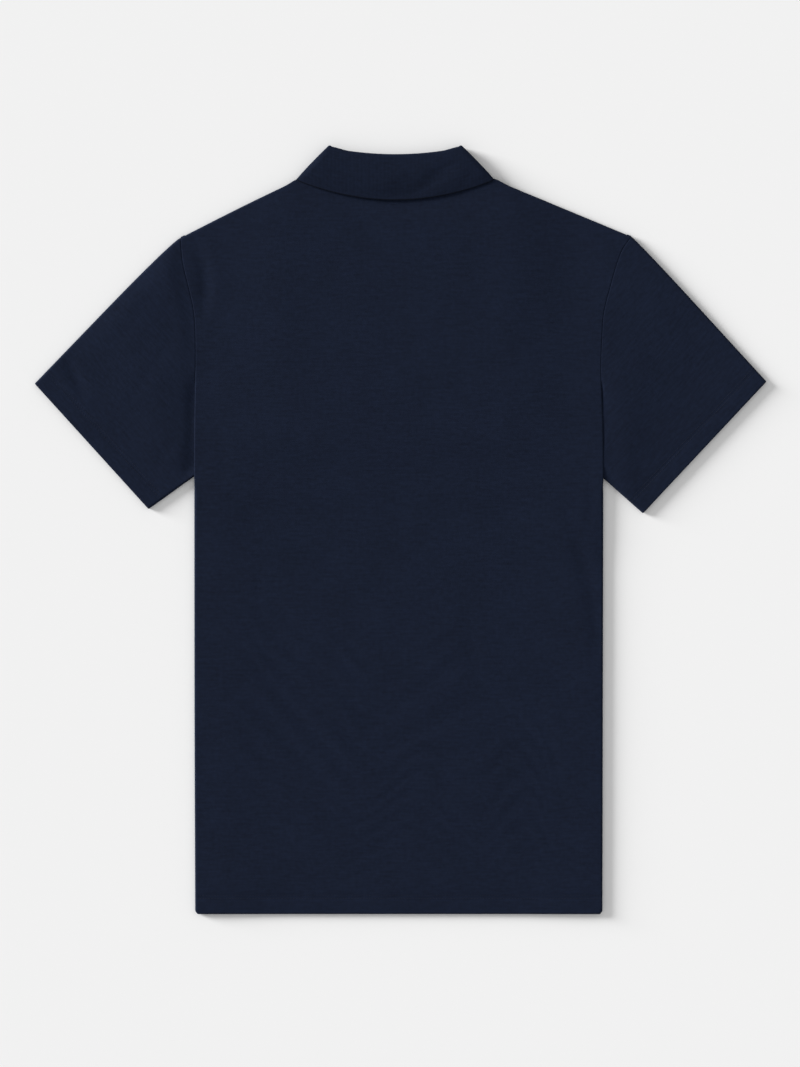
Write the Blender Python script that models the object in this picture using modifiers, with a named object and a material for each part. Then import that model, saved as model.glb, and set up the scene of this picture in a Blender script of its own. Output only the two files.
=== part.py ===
"""A short-sleeved polo shirt laid flat on its front, with its back up. Millimetres until the last step.

X runs across the shirt, Y from the hem to the collar and Z up from the surface it lies on. The shirt's
own zero is the middle of the hem; place_mm moves it to the middle of the whole outline, on the floor.
Every panel is an outer surface worked out on a grid and given its wall by Solidify.
"""

import math

import bmesh
import bpy

# Cloth
WALL = 1.2            # one panel of knit
COLLAR_WALL = 1.8     # the knitted collar
SEAM = 0.3            # gap between two pieces at a seam

# Outline of the body, from the middle of the hem
TIP_LEFT = (-209.6, 649.7)
TIP_RIGHT = (223.4, 650.7)
HEM_CORNER = 4.0      # radius of the hem's corners
UNDERARM = (402.0, 418.0)      # the side seams open over this stretch, and the armhole starts
SIDES = [
    # height up the side, left edge, right edge
    {"y": 0, "left": -195.6, "right": 195.6},
    {"y": 200, "left": -196.3, "right": 196.0},
    {"y": 418, "left": -196.4, "right": 196.4},
    {"y": 470, "left": -196.2, "right": 195.8},
    {"y": 520, "left": -195.3, "right": 194.2},
    {"y": 555, "left": -195.4, "right": 195.1},
    {"y": 578, "left": -196.8, "right": 197.0},
    {"y": 600, "left": -201.4, "right": 202.4},
    {"y": 625, "left": -207.4, "right": 209.6},
    {"y": 640, "left": -209.0, "right": 215.6},
    {"y": 651, "left": -209.6, "right": 223.6},
]
SHOULDER_BOW = {-1: 1.0, 1: 0.3}   # the left and right shoulder seams rise this much above a straight line

# Height of the stack, from the floor
STACK = [
    # height up the body, top of the back at the middle and at the sides
    {"y": 0, "middle": 3.4, "side": 4.4},
    {"y": 60, "middle": 4.0, "side": 4.5},
    {"y": 330, "middle": 4.3, "side": 4.6},
    {"y": 380, "middle": 4.4, "side": 5.4},
    {"y": 412, "middle": 5.4, "side": 5.9},
    {"y": 465, "middle": 6.9, "side": 5.9},
    {"y": 530, "middle": 6.9, "side": 5.9},
    {"y": 600, "middle": 6.9, "side": 5.1},
    {"y": 660, "middle": 6.9, "side": 4.8},
]
FRONT_LIFT = 2.7      # the front lies this high over the collar, placket and buttons
LIFT_STARTS = (400.0, 470.0)
MIDDLE_ENDS = (100.0, 178.0)   # distances from the middle where the middle's heights fade into the sides'
CURL_STEPS = 3        # facets round a quarter of a folded edge
LIP = 0.35            # straight last stretch of a curled edge
OPEN_RING = 6.0       # width of the rings of cells along a side that lies open
NECK_RING = 8.0       # and along the neck
EDGE_REACH = 0.4      # share of the width over which the sides' curve fades into the panel
NEAR = 0.02           # points this close to an edge count as on it
AT_EDGE = 0.05
PROBE = 1e-3          # small steps of u or v that measure a panel's spacing and direction
ALONG = 0.004

# Neck and collar
NECK_X = -3.4         # the neck lies a little to the left
NECK_HALF = 80.7      # half the neck's width at the shoulder seams
NECK_SIDE_Y = 708.5
NECK_BACK_Y = 697.0
NECK_FRONT_Y = 630.0
NECK_BACK_POWER = 4.4
NECK_CORNER = 2.4     # the shoulder's edge lies this far outside the collar's turning line
NECK_OPENS = (112.0, 86.0)     # under the collar the shoulder's edges part, from here to the neck
NECK_OPEN_SHARE = 0.4
SHOULDER_POINTS = 12  # stretches that stand for the shoulder seam when distances to it are measured
FRONT_NECK_GAP = 0.5  # the front's neck edge lies this far outside the collar's turning line
FOLD_HALF = 61.6      # half the width of the collar's top fold
FOLD_SIDE_Y = 733.9
FOLD_BACK_Y = 727.8
FOLD_FRONT_Y = 655.0
FALL_HALF = 92.6      # half the width of the fall's lower edge, where it turns to the front
FALL_SIDE_Y = 703.5
FALL_BACK_Y = 685.3
FALL_FRONT_BEND = (85.0, 642.0)
COLLAR_POINT = (42.0, 594.0)
COLLAR_GAP = 2.5      # half the gap between the collar's ends at the front
BACK_NECK_STEPS = 12  # stretches of the back neck seam, the same on the panel and on the collar
FRONT_NECK_STEPS = 7  # stretches of the front neck seam, each side
COLLAR_Z = 4.8        # height that the collar turns round
STAND_RADIUS = 1.5
FALL_RADIUS = 3.88
TURN_STEPS = 6        # the collar turns from the back to the front in this many steps
STAND_STEPS = 3
BEND_STEPS = 4
FALL_STEPS = 4

# Sleeves, from shoulder tip to cuff
CUFF_TOP_LEFT = (-347.8, 511.5)
CUFF_LOW_LEFT = (-238.8, 386.7)
CUFF_TOP_RIGHT = (352.5, 512.4)
CUFF_LOW_RIGHT = (234.0, 385.7)
SLEEVE_STACK = 4.2
TUCK = 10.4           # the sleeve's root lies this far inside the body at the underarm
SLEEVE_LOW_Y = 428.0  # the root's lowest point
TUCK_ENDS = (430.0, 502.0)     # the tuck fades out over this stretch
SINK_ENDS = (515.0, 560.0)     # and above it the root rises level with the back
TIP_GAP_STARTS = (600.0, 640.0)    # the seam's gap widens a little towards the shoulder tip
TIP_STEP = 8.0        # the root's direction is measured over this height
LOW_LEVELS = (0.26, 0.6)       # shares of the sleeve where its lower wall comes down to the floor
HIGH_LEVELS = (0.3, 0.8)       # and where its upper wall settles to the sleeve's own height
MERGE = 0.00001       # metres

SLEEVE_RINGS = (0.0, 0.1, 0.2, 0.3, 0.42, 0.55, 0.7, 0.85, 1.0)
ARMHOLE_HEIGHTS = [452, 480, 500, 520, 540, 560, 580, 600, 618, 634]   # rows shared by body and sleeves

# Rows up the body below the armholes, and columns between its sides and the neck
BODY_HEIGHTS = [0, 4, 18, 60, 110, 165, 220, 275, 330, 375, 398, 406, 412, 419, 430]
LEFT_COLUMNS = [-188, -170, -145, -115]
RIGHT_COLUMNS = [110, 142, 168, 188]

# Placket and buttons
PLACKET_WIDTH = 30.0
PLACKET_LOW_Y = 480.0
UNDER_MARGIN = 3.0    # the under band is this much wider and longer
BAND_ROWS = 6
BAND_COLUMNS = 4
BUTTON_RADIUS = 5.7
BUTTON_THICK = 2.4
BUTTON_SIDES = 24
BUTTON_EDGE = 0.6     # radius of its rim
BUTTON_RIM = 1.0      # flat ring inside the rim
BUTTON_SLOPE = 0.4    # width of the slope down to its dish
BUTTON_DISH = 0.4     # depth of the dish
BUTTON_HOLE = 0.8
BUTTON_HOLE_SIDES = 8
BUTTON_HOLE_SPREAD = 1.5
BUTTON_Y = (618.0, 556.0, 494.0)

OUTLINE_LOW = (CUFF_TOP_LEFT[0], 0.0)
OUTLINE_HIGH = (CUFF_TOP_RIGHT[0], 738.0)

NAVY = (0.0105, 0.0145, 0.031)
COLLAR_NAVY = (0.0085, 0.012, 0.026)
BUTTON_NAVY = (0.012, 0.016, 0.032)


# Plain arithmetic

def ease(low, high, x):
    """0 below low, 1 above high, and smooth between."""
    t = min(1.0, max(0.0, (x - low) / (high - low)))
    return t * t * (3.0 - 2.0 * t)


def mix(a, b, t):
    return a + (b - a) * t


def mix2(p, q, t):
    return (mix(p[0], q[0], t), mix(p[1], q[1], t))


def plus(p, q, times=1.0):
    return (p[0] + q[0] * times, p[1] + q[1] * times)


def unit(p, q):
    """The direction from p to q."""
    length = math.dist(p, q)
    return ((q[0] - p[0]) / length, (q[1] - p[1]) / length)


def cross(a, b):
    return a[0] * b[1] - a[1] * b[0]


def eased_row(table, column, y):
    """A table's column at height y, eased from row to row."""
    for low, high in zip(table, table[1:]):
        if y <= high["y"]:
            return mix(low[column], high[column], ease(low["y"], high["y"], y))
    return table[-1][column]


def curved_row(table, column, y):
    """A table's column at height y, on a smooth curve through the rows."""
    y = min(max(y, table[0]["y"]), table[-1]["y"])
    at = next(i for i in range(1, len(table)) if y <= table[i]["y"])
    low, high = table[at - 1], table[at]
    before, after = table[max(at - 2, 0)], table[min(at + 1, len(table) - 1)]
    span = high["y"] - low["y"]
    slope_low = (high[column] - before[column]) / (high["y"] - before["y"])
    slope_high = (after[column] - low[column]) / (after["y"] - low["y"])
    t = (y - low["y"]) / span
    return (
        low[column] * (2 * t ** 3 - 3 * t ** 2 + 1)
        + slope_low * span * (t ** 3 - 2 * t ** 2 + t)
        + high[column] * (3 * t ** 2 - 2 * t ** 3)
        + slope_high * span * (t ** 3 - t ** 2)
    )


def distance_to_line(p, a, b):
    """Distance from p to the stretch from a to b."""
    along = unit(a, b)
    t = (p[0] - a[0]) * along[0] + (p[1] - a[1]) * along[1]
    t = min(max(t, 0.0), math.dist(a, b))
    return math.dist(p, plus(a, along, t))


# Heights

def middle_share(x, y):
    """1 over the middle of the body, 0 at its sides."""
    return 1.0 - ease(*MIDDLE_ENDS, abs(x - NECK_X))


def top_of_back(x, y):
    return mix(eased_row(STACK, "side", y), eased_row(STACK, "middle", y), middle_share(x, y))


def bottom_of_front(x, y):
    return FRONT_LIFT * ease(*LIFT_STARTS, y) * middle_share(x, y)


# The body's outline

def side_x(side, y):
    """The body's edge at height y, with the hem's corners rounded."""
    corner = max(0.0, 1.0 - y / HEM_CORNER)
    inset = HEM_CORNER * (1.0 - math.sqrt(1.0 - corner ** 2))
    return curved_row(SIDES, side, y) + (inset if side == "left" else -inset)


def neck_axis(sign):
    """Where the neck seam turns from the back to the front, beside the shoulder seam."""
    return (NECK_X + sign * NECK_HALF, NECK_SIDE_Y)


def fold_end(sign):
    return (NECK_X + sign * FOLD_HALF, FOLD_SIDE_Y)


def outward(p, q, sign):
    """The direction across the line p to q, away from the neck."""
    along = unit(p, q)
    return (-along[1], along[0]) if sign < 0 else (along[1], -along[0])


def neck_corner(sign):
    return plus(neck_axis(sign), outward(neck_axis(sign), fold_end(sign), sign), NECK_CORNER)


def shoulder(sign, t):
    """The shoulder seam, from its tip at t = 0 to the neck at t = 1."""
    tip = TIP_LEFT if sign < 0 else TIP_RIGHT
    x, y = mix2(tip, neck_corner(sign), t)
    return (x, y + SHOULDER_BOW[sign] * math.sin(math.pi * t))


def shoulder_curl_share(x):
    """How much of its full curl the shoulder's edge has at x: less where it parts under the collar."""
    return 1.0 - NECK_OPEN_SHARE * ease(-NECK_OPENS[0], -NECK_OPENS[1], -abs(x - NECK_X))


def back_neck(x):
    """Height of the back's neck edge at x."""
    return NECK_BACK_Y + (NECK_SIDE_Y - NECK_BACK_Y) * abs((x - NECK_X) / NECK_HALF) ** NECK_BACK_POWER


def front_neck(x):
    """Height of the front's neck edge at x, half an ellipse."""
    across = min(1.0, abs((x - NECK_X) / (NECK_HALF + FRONT_NECK_GAP)))
    return NECK_SIDE_Y - (NECK_SIDE_Y - NECK_FRONT_Y) * math.sqrt(1.0 - across ** 2)


def back_neck_shares():
    """Places along the back neck seam, from -1 to 1, without its ends."""
    return [2.0 * k / BACK_NECK_STEPS - 1.0 for k in range(1, BACK_NECK_STEPS)]


def front_neck_angles():
    """Angles round the front neck's ellipse, from the shoulder seam to the collar's end."""
    last = math.acos(COLLAR_GAP / NECK_HALF)
    return [last * k / FRONT_NECK_STEPS for k in range(1, FRONT_NECK_STEPS + 1)]


SHOULDER_LINES = [
    [shoulder(sign, i / SHOULDER_POINTS) for i in range(SHOULDER_POINTS + 1)]
    for sign in (-1, 1)
]


def shoulder_distance(p):
    """Distance from p to the nearer shoulder seam."""
    return min(
        distance_to_line(p, a, b)
        for line in SHOULDER_LINES
        for a, b in zip(line, line[1:])
    )


def curl_radius(x, y):
    """Radius of a curled edge, which leaves room for the lip and half the seam's gap."""
    half = (top_of_back(x, y) - bottom_of_front(x, y)) / 2
    return half - SEAM / 2 - LIP


def curl(x, y, side_lip, top_lip):
    """How far the outer face has turned towards the seam at x, y; a lip is the seam's own edge."""
    radius = curl_radius(x, y)
    sides = min(x - side_x("left", y), side_x("right", y) - x)
    side_share = 1.0 - ease(*UNDERARM, y)
    turned = 0.0
    above = shoulder_distance((x, y))
    for gap, share, lip in ((sides, side_share, side_lip), (above, shoulder_curl_share(x), top_lip)):
        if gap < radius:
            inside = 1.0 - max(0.0, gap - NEAR) / radius
            drop = radius * (1.0 - math.sqrt(max(0.0, 1.0 - inside ** 2)))
            turned = max(turned, share * (drop + (LIP if lip and gap < AT_EDGE else 0.0)))
    return turned


# A body panel as a grid: columns across, rows from the hem to the shoulders and neck

class Panel:
    """The plan of one panel. Columns run 0 to 1 across the hem, rows 0 to 1 up to the top edge."""

    def __init__(self, neck, neck_gap):
        self.neck = neck
        self.neck_gap = neck_gap
        self.left = SIDES[0]["left"]
        self.wide = SIDES[0]["right"] - SIDES[0]["left"]

    def column(self, x):
        return (x - self.left) / self.wide

    def hem(self, u):
        return (mix(side_x("left", 0.0), side_x("right", 0.0), u), 0.0)

    def top(self, u):
        x = self.left + self.wide * u
        for sign in (-1, 1):
            corner = neck_corner(sign)
            edge = self.column(corner[0])
            if sign * (u - edge) >= 0:
                outer = 0.0 if sign < 0 else 1.0
                x, y = shoulder(sign, (u - outer) / (edge - outer))
                return (x, y)
            axis = plus(neck_axis(sign), (sign * self.neck_gap, -SEAM / 2))
            if sign * (x - axis[0]) > 0:
                return mix2(corner, axis, (x - corner[0]) / (axis[0] - corner[0]))
        return (x, self.neck(x) - SEAM / 2)

    def side(self, name, v):
        tip = TIP_LEFT if name == "left" else TIP_RIGHT
        y = v * tip[1]
        return (side_x(name, y), y)

    def plan(self, u, v):
        x, y = mix2(self.hem(u), self.top(u), v)
        left_share = 1.0 - u / EDGE_REACH
        right_share = 1.0 - (1.0 - u) / EDGE_REACH
        for name, end, share in (("left", 0.0, left_share), ("right", 1.0, right_share)):
            if share > 0:
                straight = mix2(self.hem(end), self.top(end), v)
                edge = self.side(name, v)
                x += share ** 2 * (edge[0] - straight[0])
                y += share ** 2 * (edge[1] - straight[1])
        return (x, y)

    def side_step(self, name, v):
        """Millimetres away from the side's edge for each unit of u."""
        end, inner = (0.0, PROBE) if name == "left" else (1.0, 1.0 - PROBE)
        p, q = self.plan(end, v), self.plan(inner, v)
        along = unit(self.plan(end, max(0.0, v - ALONG)), self.plan(end, min(1.0, v + ALONG)))
        return abs(cross((q[0] - p[0], q[1] - p[1]), along)) / PROBE

    def top_step(self, u):
        """Millimetres down from the top edge for each unit of v."""
        p, q = self.plan(u, 1.0), self.plan(u, 1.0 - PROBE)
        inwards = u < 0.5
        if u in (self.column(neck_corner(-1)[0]), self.column(neck_corner(1)[0])):
            inwards = not inwards
        along = unit(p, self.plan(u + ALONG if inwards else u - ALONG, 1.0))
        return abs(cross((q[0] - p[0], q[1] - p[1]), along)) / PROBE


def rings(radius, share, loose):
    """Distances from the edge, outermost first: a lip, the curl, then flat cloth."""
    count = CURL_STEPS + 1
    angles = [math.pi / 2 * k / CURL_STEPS for k in range(CURL_STEPS, -1, -1)]
    curled = [0.0] + [radius * (1.0 - math.sin(angle)) for angle in angles]
    flat = [loose * k / count for k in range(count + 1)]
    return [mix(flat[k], curled[k], share) for k in range(count + 1)]


def panel_grid(panel, columns, rows):
    """(u, v) of each place as places[row][column], with rings of columns and rows along the edges."""
    count = CURL_STEPS + 1
    corners = [panel.column(neck_corner(sign)[0]) for sign in (-1, 1)]
    places = []
    for j in range(len(rows) + count + 1):
        row = rows[min(j, len(rows) - 1)]
        y = row * TIP_LEFT[1]
        ends = []
        for name in ("left", "right"):
            steps = rings(curl_radius(side_x(name, y), y), 1.0 - ease(*UNDERARM, y), OPEN_RING)
            ends.append([step / panel.side_step(name, row) for step in steps])
        us = ends[0] + columns + [1.0 - u for u in ends[1][::-1]]
        line = []
        for u in us:
            on_shoulder = not corners[0] + 1e-9 < u < corners[1] - 1e-9
            steps = rings(curl_radius(*panel.top(u)), 1.0 if on_shoulder else 0.0, NECK_RING)
            per = panel.top_step(u) if on_shoulder else panel.top(u)[1]
            v = row if j < len(rows) else 1.0 - steps[::-1][j - len(rows)] / per
            line.append((u, v))
        places.append(line)
    return places


# Blender objects

def place_mm(x, y, z):
    """The part's own frame in metres: the middle of the whole outline, on the floor."""
    middle_x = (OUTLINE_LOW[0] + OUTLINE_HIGH[0]) / 2
    middle_y = (OUTLINE_LOW[1] + OUTLINE_HIGH[1]) / 2
    return ((x - middle_x) / 1000, (y - middle_y) / 1000, z / 1000)


def make_material(name, color, roughness):
    material = bpy.data.materials.new(name)
    material.use_nodes = True
    shader = material.node_tree.nodes["Principled BSDF"]
    shader.inputs["Base Color"].default_value = (*color, 1.0)
    shader.inputs["Roughness"].default_value = roughness
    shader.inputs["Metallic"].default_value = 0.0
    return material


def add_object(bm, name, material, collection):
    mesh = bpy.data.meshes.new(name)
    bm.to_mesh(mesh)
    bm.free()
    mesh.materials.append(material)
    mesh.shade_smooth()
    mesh.set_sharp_from_angle(angle=math.radians(50))
    made = bpy.data.objects.new(name, mesh)
    collection.objects.link(made)
    return made


def grid_mesh(points, flip=False, gone=None):
    """A bmesh grid whose vertices are moved to points[row][column]; gone(row, column) drops a cell."""
    rows, columns = len(points), len(points[0])
    bm = bmesh.new()
    bmesh.ops.create_grid(bm, x_segments=columns - 1, y_segments=rows - 1, size=1)
    bm.verts.ensure_lookup_table()
    for j, line in enumerate(points):
        for i, point in enumerate(line):
            bm.verts[j * columns + i].co = place_mm(*point)
    if gone:
        lost = []
        for face in bm.faces:
            low = min(vert.index for vert in face.verts)
            if gone(low // columns, low % columns):
                lost.append(face)
        bmesh.ops.delete(bm, geom=lost, context="FACES")
    if flip:
        bmesh.ops.reverse_faces(bm, faces=bm.faces[:])
    return bm


def thicken(made, wall, offset=-1.0):
    wall_maker = made.modifiers.new("Wall", "SOLIDIFY")
    wall_maker.thickness = wall / 1000
    wall_maker.offset = offset
    wall_maker.use_even_offset = True
    return made


# The pieces

def body_rows(extra=()):
    """Heights of the panel's rows as shares, closer at the hem and the underarm."""
    return sorted({h / TIP_LEFT[1] for h in BODY_HEIGHTS + ARMHOLE_HEIGHTS} | set(extra))


def body_columns(panel, across):
    """Columns between the side rings, with one on each neck corner and turning line."""
    left_neck = [neck_corner(-1)[0], neck_axis(-1)[0] - panel.neck_gap]
    right_neck = [neck_axis(1)[0] + panel.neck_gap, neck_corner(1)[0]]
    marks = LEFT_COLUMNS + left_neck + across + right_neck + RIGHT_COLUMNS
    return [panel.column(x) for x in marks]


def make_back(material, collection):
    """The panel on top. Its outer face is its upper one."""
    panel = Panel(back_neck, 0.0)
    columns = body_columns(panel, [NECK_X + NECK_HALF * share for share in back_neck_shares()])
    points = []
    grid = panel_grid(panel, columns, body_rows())
    for j, line in enumerate(grid):
        points.append([])
        for i, (u, v) in enumerate(line):
            x, y = panel.plan(u, v)
            turned = curl(x, y, i in (0, len(line) - 1), j == len(grid) - 1)
            points[-1].append((x, y, top_of_back(x, y) - turned))
    return thicken(add_object(grid_mesh(points), "back", material, collection), WALL)


def make_front(material, collection):
    """The panel underneath, with a slot for the placket's bands. Its outer face is its lower one."""
    panel = Panel(front_neck, FRONT_NECK_GAP)
    arc = [math.cos(angle) * (NECK_HALF + FRONT_NECK_GAP) for angle in front_neck_angles()[:-1]]
    half_slot = PLACKET_WIDTH / 2 + SEAM
    across = [-x for x in arc] + [-half_slot, half_slot] + arc[::-1]
    columns = body_columns(panel, [NECK_X + x for x in across])
    slot_v = PLACKET_LOW_Y / (panel.top(panel.column(NECK_X + half_slot))[1])
    rows = body_rows((slot_v,))
    slot_row = rows.index(slot_v)
    slot_column = CURL_STEPS + 2 + columns.index(panel.column(NECK_X - half_slot))
    points = []
    grid = panel_grid(panel, columns, rows)
    for j, line in enumerate(grid):
        points.append([])
        for i, (u, v) in enumerate(line):
            x, y = panel.plan(u, v)
            turned = curl(x, y, i in (0, len(line) - 1), j == len(grid) - 1)
            points[-1].append((x, y, bottom_of_front(x, y) + turned))
    bm = grid_mesh(points, True, lambda row, column: row >= slot_row and column == slot_column)
    return thicken(add_object(bm, "front", material, collection), WALL)


def armhole(sign, y):
    """The sleeve's root: inside the body at the underarm, then beside its edge."""
    side = "left" if sign < 0 else "right"
    tuck = TUCK * (1.0 - ease(*TUCK_ENDS, y))
    gap = SEAM * (ease(TUCK_ENDS[1] - TUCK, TUCK_ENDS[1], y) + ease(*TIP_GAP_STARTS, y))
    return (side_x(side, y) + sign * (gap - tuck), y)


class Sleeve:
    """The plan and levels of one sleeve, from its root at s = 0 to its cuff at s = 1."""

    def __init__(self, sign):
        self.sign = sign
        self.side = "left" if sign < 0 else "right"
        self.tip = TIP_LEFT if sign < 0 else TIP_RIGHT
        self.cuff_top = CUFF_TOP_LEFT if sign < 0 else CUFF_TOP_RIGHT
        self.cuff_low = CUFF_LOW_LEFT if sign < 0 else CUFF_LOW_RIGHT
        self.root_top = armhole(sign, self.tip[1])
        self.root_low = armhole(sign, SLEEVE_LOW_Y)
        self.cuff_way = unit(self.cuff_low, self.cuff_top)
        self.top_way = unit(armhole(sign, self.tip[1] - TIP_STEP), self.root_top)
        self.low_way = unit(self.root_low, armhole(sign, SLEEVE_LOW_Y + TIP_STEP))

    def levels(self, s, y):
        """Bottom and top of the sleeve at s, where its root meets height y."""
        sunk = 1.0 - ease(*SINK_ENDS, y)
        root_high = top_of_back(side_x(self.side, y), y) - sunk * (WALL + SEAM)
        low = mix(sunk * (WALL + SEAM), 0.0, ease(*LOW_LEVELS, s))
        return low, mix(root_high, SLEEVE_STACK, ease(*HIGH_LEVELS, s))

    def fold(self, s, top):
        """A fold's line at s, and the step from its line in to where it starts."""
        root, cuff = (self.root_top, self.cuff_top) if top else (self.root_low, self.cuff_low)
        along = unit(cuff, root)
        low, high = self.levels(s, root[1])
        radius = (high - low) / 2
        way = mix2(self.top_way if top else self.low_way, self.cuff_way, s)
        step = radius / abs(cross(along, way)) * (-1.0 if top else 1.0)
        return mix2(root, cuff, s), (way[0] * step, way[1] * step)

    def flat(self, s, share):
        """The plan and levels between the folds."""
        root_start, root_end = [plus(*self.fold(0.0, top)) for top in (False, True)]
        start, end = [plus(*self.fold(s, top)) for top in (False, True)]
        y = mix(root_start[1], root_end[1], share)
        bent = plus(armhole(self.sign, y), mix2(root_start, root_end, share), -1.0)
        return plus(mix2(start, end, share), bent, 1.0 - s), self.levels(s, y)

    def shares(self):
        """Places across, level with the body's rows along the armhole."""
        low, high = [plus(*self.fold(0.0, top))[1] for top in (False, True)]
        rows = [height * self.tip[1] / TIP_LEFT[1] for height in ARMHOLE_HEIGHTS]
        return [0.0] + [(y - low) / (high - low) for y in rows] + [1.0]


def make_sleeve(sign, name, material, collection):
    """A flattened tube: up over the top wall, round the upper fold and back under the lower wall."""
    sleeve = Sleeve(sign)
    across = sleeve.shares()
    turns = [k / CURL_STEPS for k in range(1, CURL_STEPS + 1)]
    stations = [("flat", share, 1) for share in across]
    stations += [("top", turn, 1) for turn in turns] + [("top", turn, -1) for turn in turns[-2::-1]]
    stations += [("flat", share, -1) for share in across[::-1]]
    stations += [("low", turn, -1) for turn in turns] + [("low", turn, 1) for turn in turns[-2::-1]]
    points = []
    for s in SLEEVE_RINGS:
        points.append([])
        for kind, share, face in stations + stations[:1]:
            if kind == "flat":
                (x, y), (low, high) = sleeve.flat(s, share)
                lift = 1.0
            else:
                angle = math.pi / 2 * share
                line, step = sleeve.fold(s, kind == "top")
                root = sleeve.root_top if kind == "top" else sleeve.root_low
                (x, y) = plus(line, step, 1.0 - math.sin(angle))
                low, high = sleeve.levels(s, root[1])
                lift = math.cos(angle)
            points[-1].append((x, y, (low + high) / 2 + face * (high - low) / 2 * lift))
    bm = grid_mesh(points, flip=sign > 0)
    bmesh.ops.remove_doubles(bm, verts=bm.verts[:], dist=MERGE)
    return thicken(add_object(bm, name, material, collection), WALL)


def collar_front(sign):
    """Stations of one front half, from the collar's end to the side of the neck."""
    fall_end = (NECK_X + sign * FALL_HALF, FALL_SIDE_Y)
    bend = (NECK_X + sign * FALL_FRONT_BEND[0], FALL_FRONT_BEND[1])
    point = (NECK_X + sign * COLLAR_POINT[0], COLLAR_POINT[1])
    base_half, base_rise = NECK_HALF - SEAM, NECK_SIDE_Y - NECK_FRONT_Y - SEAM
    fold_rise = FOLD_SIDE_Y - FOLD_FRONT_Y
    angles = front_neck_angles()[::-1]
    found = []
    for angle in angles:
        a = angle / angles[0]
        across, down = sign * math.cos(angle), math.sin(angle)
        found.append({
            "base": (NECK_X + base_half * across, NECK_SIDE_Y - base_rise * down),
            "fold": (NECK_X + FOLD_HALF * across, FOLD_SIDE_Y - fold_rise * down),
            "fall": mix2(mix2(fall_end, bend, a), mix2(bend, point, a), a),
            "turn": math.pi,
        })
    return found


def collar_turn(sign):
    """Stations where the strip turns over at one side of the neck."""
    axis = neck_axis(sign)
    return [
        {
            "base": plus(axis, unit(axis, fold_end(sign)), SEAM / 2),
            "fold": fold_end(sign),
            "fall": (NECK_X + sign * FALL_HALF, FALL_SIDE_Y),
            "turn": math.pi * (1.0 - k / TURN_STEPS),
        }
        for k in range(TURN_STEPS + 1)
    ]


def collar_stations():
    """Plan places of the strip's neck seam, fold and lower edge, and how far it has turned to the front."""
    left, right = [collar_front(sign) + collar_turn(sign) for sign in (-1, 1)]
    back = []
    for t in back_neck_shares():
        x = NECK_X + NECK_HALF * t
        back.append({
            "base": (x, back_neck(x) + SEAM / 2),
            "fold": (NECK_X + FOLD_HALF * t, mix(FOLD_BACK_Y, FOLD_SIDE_Y, t * t)),
            "fall": (NECK_X + FALL_HALF * t, mix(FALL_BACK_Y, FALL_SIDE_Y, t * t)),
            "turn": 0.0,
        })
    return [(-1, row) for row in left] + [(-1, row) for row in back] + [(1, row) for row in right[::-1]]


def make_collar(material, collection):
    """The collar's strip: from the neck seam up the stand, round the bend and down the fall."""
    bend_radius = (FALL_RADIUS - STAND_RADIUS) / 2
    points = []
    for sign, row in collar_stations():
        base, fold, fall = row["base"], row["fold"], row["fall"]
        up = unit(base, fold)
        away_stand = outward(base, fold, sign)
        away_fall = outward(fall, fold, sign)
        strip = [(mix2(base, fold, k / STAND_STEPS), STAND_RADIUS, away_stand) for k in range(STAND_STEPS)]
        for k in range(BEND_STEPS + 1):
            angle = math.pi * k / BEND_STEPS
            strip.append((
                plus(fold, up, bend_radius * math.sin(angle)),
                STAND_RADIUS + bend_radius * (1.0 - math.cos(angle)),
                mix2(away_stand, away_fall, k / BEND_STEPS),
            ))
        for k in range(1, FALL_STEPS + 1):
            strip.append((mix2(fold, fall, k / FALL_STEPS), FALL_RADIUS, away_fall))
        line = []
        for at, radius, away in strip:
            x, y = plus(at, away, radius * math.sin(row["turn"]))
            line.append((x, y, COLLAR_Z + radius * math.cos(row["turn"])))
        points.append(line)
    return thicken(add_object(grid_mesh(points), "collar", material, collection), COLLAR_WALL, 0.0)


def make_band(name, half, low_y, bottom, material, collection):
    """A placket band, from below its buttons up to the neck seam."""
    points = []
    for j in range(BAND_ROWS + 1):
        points.append([])
        for i in range(BAND_COLUMNS + 1):
            x = NECK_X + half * (2 * i / BAND_COLUMNS - 1)
            points[-1].append((x, mix(low_y, front_neck(x) - SEAM / 2, j / BAND_ROWS), bottom))
    return thicken(add_object(grid_mesh(points, True), name, material, collection), WALL)


def disc(bm, sides, radius, depth, middle):
    """A round bar, centred half way up a button's thickness."""
    made = bmesh.ops.create_cone(bm, cap_ends=True, segments=sides, radius1=radius / 1000,
                                 radius2=radius / 1000, depth=depth / 1000)
    shift = (middle[0] / 1000, middle[1] / 1000, BUTTON_THICK / 2000)
    bmesh.ops.translate(bm, verts=made["verts"], vec=shift)


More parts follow.
